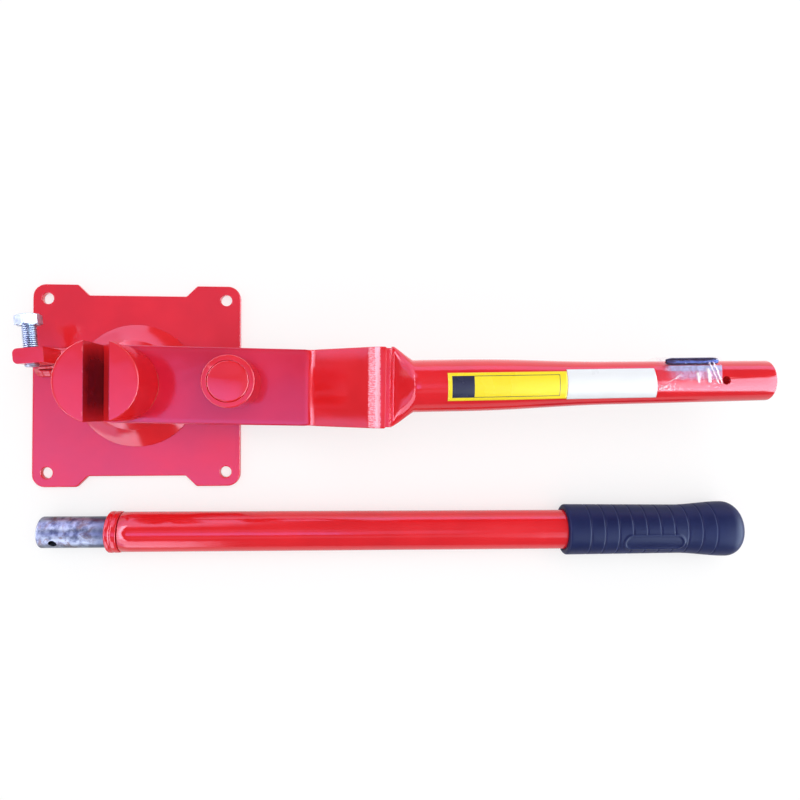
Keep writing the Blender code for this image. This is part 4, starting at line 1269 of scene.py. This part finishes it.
def label_body(start, length, width, turn, slant=0.0):
    """A label over the tube, whose plan is in metres from its first near corner."""
    def spot_at(along, side):
        across = side - 0.5
        x = start + (length + slant * across) * along
        radius = tube_radius(x) + foil_lift
        angle = turn + across * width / radius
        lift = foil_thickness * (0.7 + 0.3 * noise.noise(Vector((x * 90, across * 3, turn))))
        return (over_tube(x, radius + lift, angle), over_tube(x, radius - foil_sink, angle),
                (length * along, side * width))
    return thin_sheet(72, 28, spot_at)


def sheet_plan(tree):
    """The plan that a thin sheet keeps for its finish."""
    return parts_of(add_node(tree, "ShaderNodeUVMap", uv_map="plan").outputs[0])


def foil_material(name, colour):
    """Smooth plastic foil, very slightly creased. Returns it, its tree, its shader and its shade."""
    material, tree, shader = start_material(name)
    place = object_place(tree)
    cloud = grain(place, 0.03, 3.0)
    shade = add_node(tree, "ShaderNodeHueSaturation",
                     {"Value": ramp(cloud, 0.3, 0.7, 0.965, 1.0), "Color": colour}).outputs[0]
    link(shader.inputs, Base_Color=shade, Roughness=ramp(cloud, 0.3, 0.7, 0.24, 0.34),
         Normal=relief(grain(place, 0.0045, 2.0), 0.00003))
    return material, tree, shader, shade


yellow_foil, yellow_tree, yellow_shader, yellow_shade = foil_material("foil_yellow_blank", foil_yellow)
yellow_plan = sheet_plan(yellow_tree)
to_frame = least(minus(yellow_plan["X"], frame_start), minus(yellow_length - frame_end, yellow_plan["X"]),
                 minus(yellow_plan["Y"], frame_inset), minus(yellow_width - frame_inset, yellow_plan["Y"]))
frame_mask = calc("COMPARE", to_frame, 0.0, frame_line / 2)
field_mask = times(calc("GREATER_THAN", to_frame, 0.0),
                   calc("LESS_THAN", yellow_plan["X"], frame_start + field_length))
link(yellow_shader.inputs, Base_Color=blend_colours(most(frame_mask, field_mask), yellow_shade, foil_ink))
make_piece("yellow_foil", label_body(yellow_start, yellow_length, yellow_width, yellow_turn), yellow_foil,
           "lever", ["label_yellow"], tube_place, even=False)
white_foil = foil_material("foil_white_blank", foil_white)[0]
make_piece("white_foil", label_body(white_start, white_length, white_width, white_turn, white_slant), white_foil,
           "lever", ["label_white"], tube_place, even=False)


# ---------------------------------------------------------------------------
# Spare pin under clear film
# A blued slotted spring pin that locks the handle in its socket. It is taped
# to the tube with clear film, which has creased and lifted at its far end. Its
# folds and specks carry painted highlights, and the web up to the pin a painted
# blue reflection.
# ---------------------------------------------------------------------------
spare_pin_diameter = 0.006
spare_pin_length = 0.0432
spare_pin_wall = 0.001
spare_pin_start = 0.2249
spare_pin_turn = math.radians(51)
spare_pin_gap = math.radians(24)
spare_pin_slot_turn = math.radians(35)
spare_pin_nose = 0.0009
spare_pin_nose_length = 0.0018
spare_pin_rounding = 0.0002
film_gap = 0.0003
film_thickness = 0.00010
film_start = 0.2149
film_length = 0.0555
film_near_turn = math.radians(-25)
film_far_lap = math.radians(14)
film_sling_foot = 0.30
film_sling_top = 0.60
film_pin_end = 0.85
film_violet = (0.76, 0.46, 0.76, 1)
film_reflection_blue = (0.50, 0.60, 0.95, 1)
film_highlight_white = (1.0, 0.96, 0.98, 1)
blued_light = (0.036, 0.056, 0.155, 1)
blued_dark = (0.013, 0.020, 0.075, 1)

pin_out = spare_pin_diameter / 2
pin_reach = tube_radius(spare_pin_start) + pin_out + film_gap
pin_side, pin_rise = pin_reach * math.sin(spare_pin_turn), pin_reach * math.cos(spare_pin_turn)


def over_pin(x, radius, turn):
    """A point round the spare pin, turned from its top towards +Y."""
    return (x, pin_side + radius * math.sin(turn), pin_rise + radius * math.cos(turn))


def pin_spot(share, around):
    """A spot of the pin's rolled wall, which is drawn in at both ends."""
    x = spare_pin_start + spare_pin_length * share
    end = min(share, 1 - share) * spare_pin_length
    draw = spare_pin_nose * (1 - min(1, end / spare_pin_nose_length)) ** 2
    turn = mix(spare_pin_gap / 2, 2 * math.pi - spare_pin_gap / 2, around) + spare_pin_slot_turn
    return over_pin(x, pin_out - draw, turn), over_pin(x, pin_out - spare_pin_wall, turn), (0.0, 0.0)


pin_steel = worked_metal("blued_spring_steel", blued_light, blued_dark, 0.22, 300.0, 1800.0, 0.000003)[0]
make_piece("slotted_spare_pin", thin_sheet(12, 40, pin_spot), pin_steel, "lever", ["spare_pin"],
           tube_place, rounding=spare_pin_rounding, steps=2)


def film_point(x, across, lift):
    """A point of the film: over the tube, slung across to the pin, round it and back down."""
    tube_out = tube_radius(x) + film_gap + lift
    round_pin = pin_out + film_gap + lift
    half_turn = math.acos((tube_out - round_pin) / pin_reach)
    first, last = spare_pin_turn - half_turn, spare_pin_turn + half_turn
    if across < film_sling_foot:
        return over_tube(x, tube_out, mix(film_near_turn, first, across / film_sling_foot))
    if across < film_sling_top:
        share = (across - film_sling_foot) / (film_sling_top - film_sling_foot)
        return Vector(over_tube(x, tube_out, first)).lerp(Vector(over_pin(x, round_pin, first)), share)
    if across < film_pin_end:
        share = (across - film_sling_top) / (film_pin_end - film_sling_top)
        return over_pin(x, round_pin, mix(first, last, share))
    return over_tube(x, tube_out, last + film_far_lap * (across - film_pin_end) / (1 - film_pin_end))


# Folds in the film: place along it, slant, half width, lowest and highest part across, lift
film_folds = [(0.63, -0.10, 0.032, 0.18, 0.44, 0.0006), (0.79, -0.15, 0.036, 0.18, 0.50, 0.0008),
              (0.88, -0.38, 0.014, 0.14, 0.60, 0.0006), (0.94, -0.36, 0.018, 0.12, 0.60, 0.0008),
              (0.26, 1.30, 0.012, 0.20, 0.40, 0.0003), (0.12, 0.70, 0.010, 0.02, 0.20, 0.0003),
              (0.06, 3.00, 0.060, 0.30, 0.34, 0.0002)]


def film_spot(share, across):
    """A spot of the film, lifted by its creases and folds."""
    x = film_start + film_length * share * (1 - 0.04 * (1 - across) ** 2)
    lift = 0.00020 + 0.0003 * abs(noise.noise(Vector((x * 150 + across * 3, across * 4, 7.0))))
    for place, slant, half, foot, top, rise in film_folds:
        away = abs(share - place - slant * (across - (foot + top) / 2)) / (1.6 * half)
        inside = min(across - foot, top - across) / 0.05
        if away < 1 and inside > 0:
            lift += rise * (1 - ease(away)) * ease(min(1, inside))
    return film_point(x, across, lift), film_point(x, across, lift - film_thickness), (share, across)


film_material, film_tree, film_shader = start_material(
    "clear_film_creased", Roughness=0.12, Specular_IOR_Level=0.8)
film_place = object_place(film_tree)
film_plan = sheet_plan(film_tree)
film_along, film_across = film_plan["X"], film_plan["Y"]
film_haze = grain(film_place, 0.006, 3.0, 0.6, 1.2)
film_ragged = minus(grain(film_place, 0.003, 3.0, 0.7), 0.5)
film_shift = plus(film_along, times(film_ragged, 0.09))
# Painted highlights: white streaks along the folds and white specks; the web up to the pin carries a painted blue
# reflection
film_fold_highlight = 0.0
for place, slant, half, foot, top, rise in film_folds:
    middle = plus(place, times(slant, minus(film_across, (foot + top) / 2)))
    streak = times(near(film_shift, middle, half, half * 0.3), ramp(film_across, foot, foot + 0.06),
                   ramp(film_across, top, top - 0.06))
    film_fold_highlight = most(film_fold_highlight, streak)
film_veil = times(ramp(film_shift, 0.12, 0.42), ramp(film_across, 0.24, 0.36), ramp(film_across, 0.52, 0.50))
film_sling_reflection = times(ramp(film_across, 0.41, 0.45), ramp(film_across, 0.53, 0.51), ramp(film_shift, 0.08, 0.25))
film_speck_glint = times(ramp(grain(film_place, 0.0012, 2.0, 0.6, 0.5), 0.54, 0.62),
                   ramp(film_along, 0.55, 0.25), ramp(film_across, 0.24, 0.10))
film_tint_and_painted_light = blend_colours(film_sling_reflection, film_violet, film_reflection_blue)
film_tint_and_painted_light = blend_colours(most(film_fold_highlight, film_speck_glint), film_tint_and_painted_light, film_highlight_white)
film_body = most(times(film_veil, 0.46), times(film_sling_reflection, 0.52))
film_body = times(film_body, ramp(film_haze, 0.30, 0.70, 0.65, 1.15))
film_body = plus(film_body, ramp(film_haze, 0.60, 0.80, 0.03, 0.12))
film_body = most(film_body, times(film_fold_highlight, 0.74), times(film_speck_glint, 0.65))
link(film_shader.inputs, Base_Color=film_tint_and_painted_light, Alpha=film_body, Normal=relief(film_haze, 0.0002))
make_piece("creased_film", thin_sheet(140, 60, film_spot), film_material, "lever", ["clear_film"],
           tube_place, even=False)


# ---------------------------------------------------------------------------
# Handle spigot and shoulder bead
# A turned steel plug, left bare so that it slides into the lever's socket. The
# welding heat has blued and browned it, and a double bead ties it to the tube.
# ---------------------------------------------------------------------------
handle_pitch = math.radians(0.706)
handle_place = (Matrix.Translation((-0.020, -0.1305, 0.01833)) @ Matrix.Rotation(math.radians(-0.28), 4, "Z")
                @ Matrix.Rotation(-handle_pitch, 4, "Y"))
spigot_diameter = 0.0275
spigot_length = 0.0575
spigot_nose_round = 0.0012
spigot_root_length = 0.04
spigot_hole_turn = math.radians(37)
spigot_rounding = 0.0003
handle_tube_diameter = 0.0355
handle_tube_wall = 0.0026
handle_tube_start = 0.0123
handle_tube_end = 0.5703
handle_fit = 0.0003
shoulder_length = 0.012
shoulder_diameter = 0.0368
shoulder_steps = 180
steel_pale = (0.29, 0.33, 0.41, 1)
steel_blue = (0.085, 0.10, 0.16, 1)
heat_brown = (0.12, 0.075, 0.07, 1)

nose = spigot_diameter / 2
root = handle_tube_diameter / 2 - handle_tube_wall - handle_fit
spigot_profile = [(0, -spigot_length + 0.0004), (nose - 0.0030, -spigot_length + 0.0001)]
spigot_profile += arc((nose - spigot_nose_round, spigot_nose_round - spigot_length), spigot_nose_round,
                      -math.pi / 2, 0, 6)
spigot_profile += [(nose, mix(spigot_nose_round - spigot_length, handle_tube_start, i / 10)) for i in range(1, 11)]
spigot_profile += [(root, handle_tube_start), (root, handle_tube_start + spigot_root_length),
                   (0, handle_tube_start + spigot_root_length)]
spigot_tool = cutter_from("spigot_hole_tool", rod(cross_hole_diameter, -0.03, 0.03),
                          handle_place @ Matrix.Translation((-cross_hole_distance, 0, 0))
                          @ Matrix.Rotation(spigot_hole_turn, 4, "X"))
spigot_steel, spigot_tree, spigot_shader, spigot_effect = worked_metal(
    "heat_marked_steel", steel_pale, steel_blue, 0.30, 150.0, 900.0, 0.00002)
spigot_spot = object_place(spigot_tree)
scale_patch = ramp(grain(spigot_spot, 0.009, 5.0, 0.65, 0.8), 0.50, 0.66)
fine_patch = ramp(grain(spigot_spot, 0.0028, 4.0, 0.7), 0.42, 0.70)
near_bead = ramp(parts_of(spigot_spot)["X"], -0.040, -0.022)
spigot_colour = spigot_effect.outputs["Color"]
for mask, share, colour in ((fine_patch, 0.55, steel_pale), (scale_patch, 0.75, heat_brown),
                            (near_bead, 0.75, steel_blue)):
    spigot_colour = blend_colours(times(mask, share), spigot_colour, colour)
link(spigot_shader.inputs, Base_Color=spigot_colour)
make_piece("bare_spigot", turned(spigot_profile, lying=True), spigot_steel, "handle",
           ["handle_spigot"], handle_place, rounding=spigot_rounding, steps=2, angle=45, cutters=[spigot_tool],
           even=False)

bead_rings = []
shoulder_crown = shoulder_diameter / 2 - 0.0001
for turn in all_round(shoulder_steps):
    ring = [(shoulder_length, nose + 0.0003), (0.0, nose + 0.0003)]
    for i in range(1, 24):
        along = i / 24
        ridge = 0.80 * abs(math.sin(2 * math.pi * along)) ** 0.7 + 0.45 * math.sin(math.pi * along)
        lump = 0.06 * noise.noise(Vector((along * 4, math.cos(turn) * 5, math.sin(turn) * 5)))
        wave = 0.05 * math.sin(turn * 26 + along * 5)
        foot = mix(nose + 0.0006, handle_tube_diameter / 2, ease(along))
        ring.append((shoulder_length * along, mix(foot, shoulder_crown, min(1.0, ridge * (1 + lump + wave)) ** 0.8)))
    bead_rings.append([over_tube(x, radius, turn) for x, radius in ring])
make_piece("shoulder_bead", skin(bead_rings, closed=True), weld_paint, "handle", ["handle_weld"],
           handle_place)


# ---------------------------------------------------------------------------
# Handle tube
# Plain drawn steel tube under the same red enamel, which has run a little
# along it while it hung to dry.
# ---------------------------------------------------------------------------
handle_out = handle_tube_diameter / 2
handle_bore = handle_out - handle_tube_wall
handle_rim = 0.0005
handle_run_depth = 0.0035
tube_profile = [(handle_bore, handle_tube_start), (handle_out - handle_rim, handle_tube_start),
                (handle_out, handle_tube_start + handle_rim)]
tube_profile += [(handle_out, mix(handle_tube_start + handle_rim, handle_tube_end, i / 60)) for i in range(1, 61)]
tube_profile += [(handle_bore, handle_tube_end)]
handle_bm = turned(tube_profile, lying=True)
for vert in handle_bm.verts:
    if vert.co.yz.length > handle_bore + 0.001:
        wave = noise.noise(Vector((vert.co.x * 9, vert.co.y * 45, vert.co.z * 45)))
        vert.co.yz *= 1 - handle_run_depth * (0.5 + 0.5 * wave)
handle_paint = red_enamel("enamel_handle", peel=0.35, runs=1.3)[0]
make_piece("handle_tube_drawn", handle_bm, handle_paint, "handle", ["handle_tube"], handle_place,
           even=False)


# ---------------------------------------------------------------------------
# Grip
# Soft navy plastic moulded in one piece and pushed over the tube's end, with
# ten ring grooves, a flared end and a raised panel that is left blank.
# ---------------------------------------------------------------------------
grip_length = 0.166
grip_end = 0.5766
grip_start = grip_end - grip_length
grip_front_diameter = 0.046
grip_waist_diameter = 0.0446
grip_flare_diameter = 0.0505
grip_flare_length = 0.046
grip_lip_length = 0.014
grip_round = 0.0025
grip_steps = 160
groove_start = 0.020
groove_pitch = 0.0129
groove_width = 0.0022
groove_depth = 0.0007
groove_count = 10
panel_length = 0.057
panel_width = 0.016
panel_middle = 0.0785
panel_turn = math.radians(-24)
panel_rim = 0.0016
panel_stand = 0.0006
panel_skirt = 0.0006
panel_sink = 0.0005
navy = (0.005, 0.009, 0.052, 1)
navy_pale = (0.015, 0.025, 0.095, 1)
navy_nib = (0.5, 0.5, 0.55, 1)


def grip_radius(along):
    """Outer radius of the grip, from its open front end."""
    flare_start = grip_length - grip_lip_length - grip_flare_length
    if along < grip_round:
        drop = grip_round - along
        return grip_front_diameter / 2 - grip_round + math.sqrt(max(0, grip_round ** 2 - drop ** 2))
    if along < flare_start:
        return mix(grip_front_diameter, grip_waist_diameter, along / flare_start) / 2
    flare = ease(min((along - flare_start) / grip_flare_length, 1))
    radius = mix(grip_waist_diameter, grip_flare_diameter, flare) / 2
    past = along - (grip_length - grip_lip_length)
    if past > 0:
        radius += math.sqrt(max(0, grip_lip_length ** 2 - past ** 2)) - grip_lip_length
    return radius


def groove_cut(along):
    """Depth of the ring grooves at a place along the grip."""
    nearest = round((along - groove_start) / groove_pitch)
    if not 0 <= nearest < groove_count:
        return 0.0
    away = abs(along - groove_start - groove_pitch * nearest)
    return groove_depth * (1 - ease(min(1, away / (groove_width / 2))))


def panel_height(along, turn):
    """Stand of the panel and how much of the grooves it keeps: a rim round a sunken field."""
    across = abs((turn - panel_turn) * grip_waist_diameter / 2)
    half = panel_width / 2
    past = max(0.0, abs(along - panel_middle) - (panel_length / 2 - half))
    inside = half - math.hypot(past, across)
    if inside < -panel_skirt:
        return 0.0, 1.0
    rise = ease(min(1, (inside + panel_skirt) / 0.0009))
    sink = ease(min(1, max(0, (inside - panel_rim) / 0.0008)))
    return panel_stand * rise - panel_sink * sink, 1 - rise


def grip_surface(along, turn):
    """Radius of the grip with its grooves and its panel."""
    stand, keep = panel_height(along, (turn + math.pi) % (2 * math.pi) - math.pi)
    return grip_radius(along) - groove_cut(along) * keep + stand


def grip_ring(x, radius_at):
    """One ring of the grip. Its radius is worked out from the turn."""
    return [over_tube(x, radius_at(turn), turn) for turn in all_round(grip_steps)]


grip_bore = handle_tube_diameter / 2 + handle_fit
bore_end = handle_tube_end + handle_fit
grip_rows = [grip_round * (1 - math.cos(math.pi / 2 * i / 6)) for i in range(7)]
grip_rows += [mix(grip_round, grip_length - grip_lip_length, i / 290) for i in range(1, 291)]
grip_rows += [grip_length - grip_lip_length * (1 - math.sin(math.pi / 2 * i / 14)) for i in range(1, 14)]
grip_rings = [grip_ring(x, lambda turn: radius)
              for x, radius in ((bore_end, grip_bore * 0.02), (bore_end, grip_bore), (grip_start, grip_bore))]
grip_rings += [grip_ring(grip_start + along, lambda turn: grip_surface(along, turn)) for along in grip_rows]
grip_rings.append(grip_ring(grip_end, lambda turn: 0.0008))
grip_plastic, grip_tree, grip_shader = start_material("moulded_navy", Specular_IOR_Level=0.17)
grip_place = object_place(grip_tree)
grip_cloud = grain(grip_place, 0.035, 4.0, 0.6)
grip_edge = add_effect(grip_tree, edge_tree, Start=0.505, Full=0.56).outputs[0]
grip_nib = add_effect(grip_tree, nib_tree, Spacing=60.0, Size=0.04).outputs[0]
# Lighter navy at sharp edges and in cloudy patches
grip_edge_tone = plus(times(grip_edge, 0.45), ramp(grip_cloud, 0.45, 0.80, 0.0, 0.30))
grip_colour = blend_colours(grip_edge_tone, navy, navy_pale)
link(grip_shader.inputs, Base_Color=blend_colours(grip_nib, grip_colour, navy_nib),
     Roughness=ramp(grip_cloud, 0.3, 0.7, 0.38, 0.50),
     Normal=relief(grain(grip_place, 0.0007, 2.0, 0.6), 0.00004))
make_piece("moulded_grip", skin(grip_rings), grip_plastic, "handle", ["handle_grip"], handle_place,
           even=False)
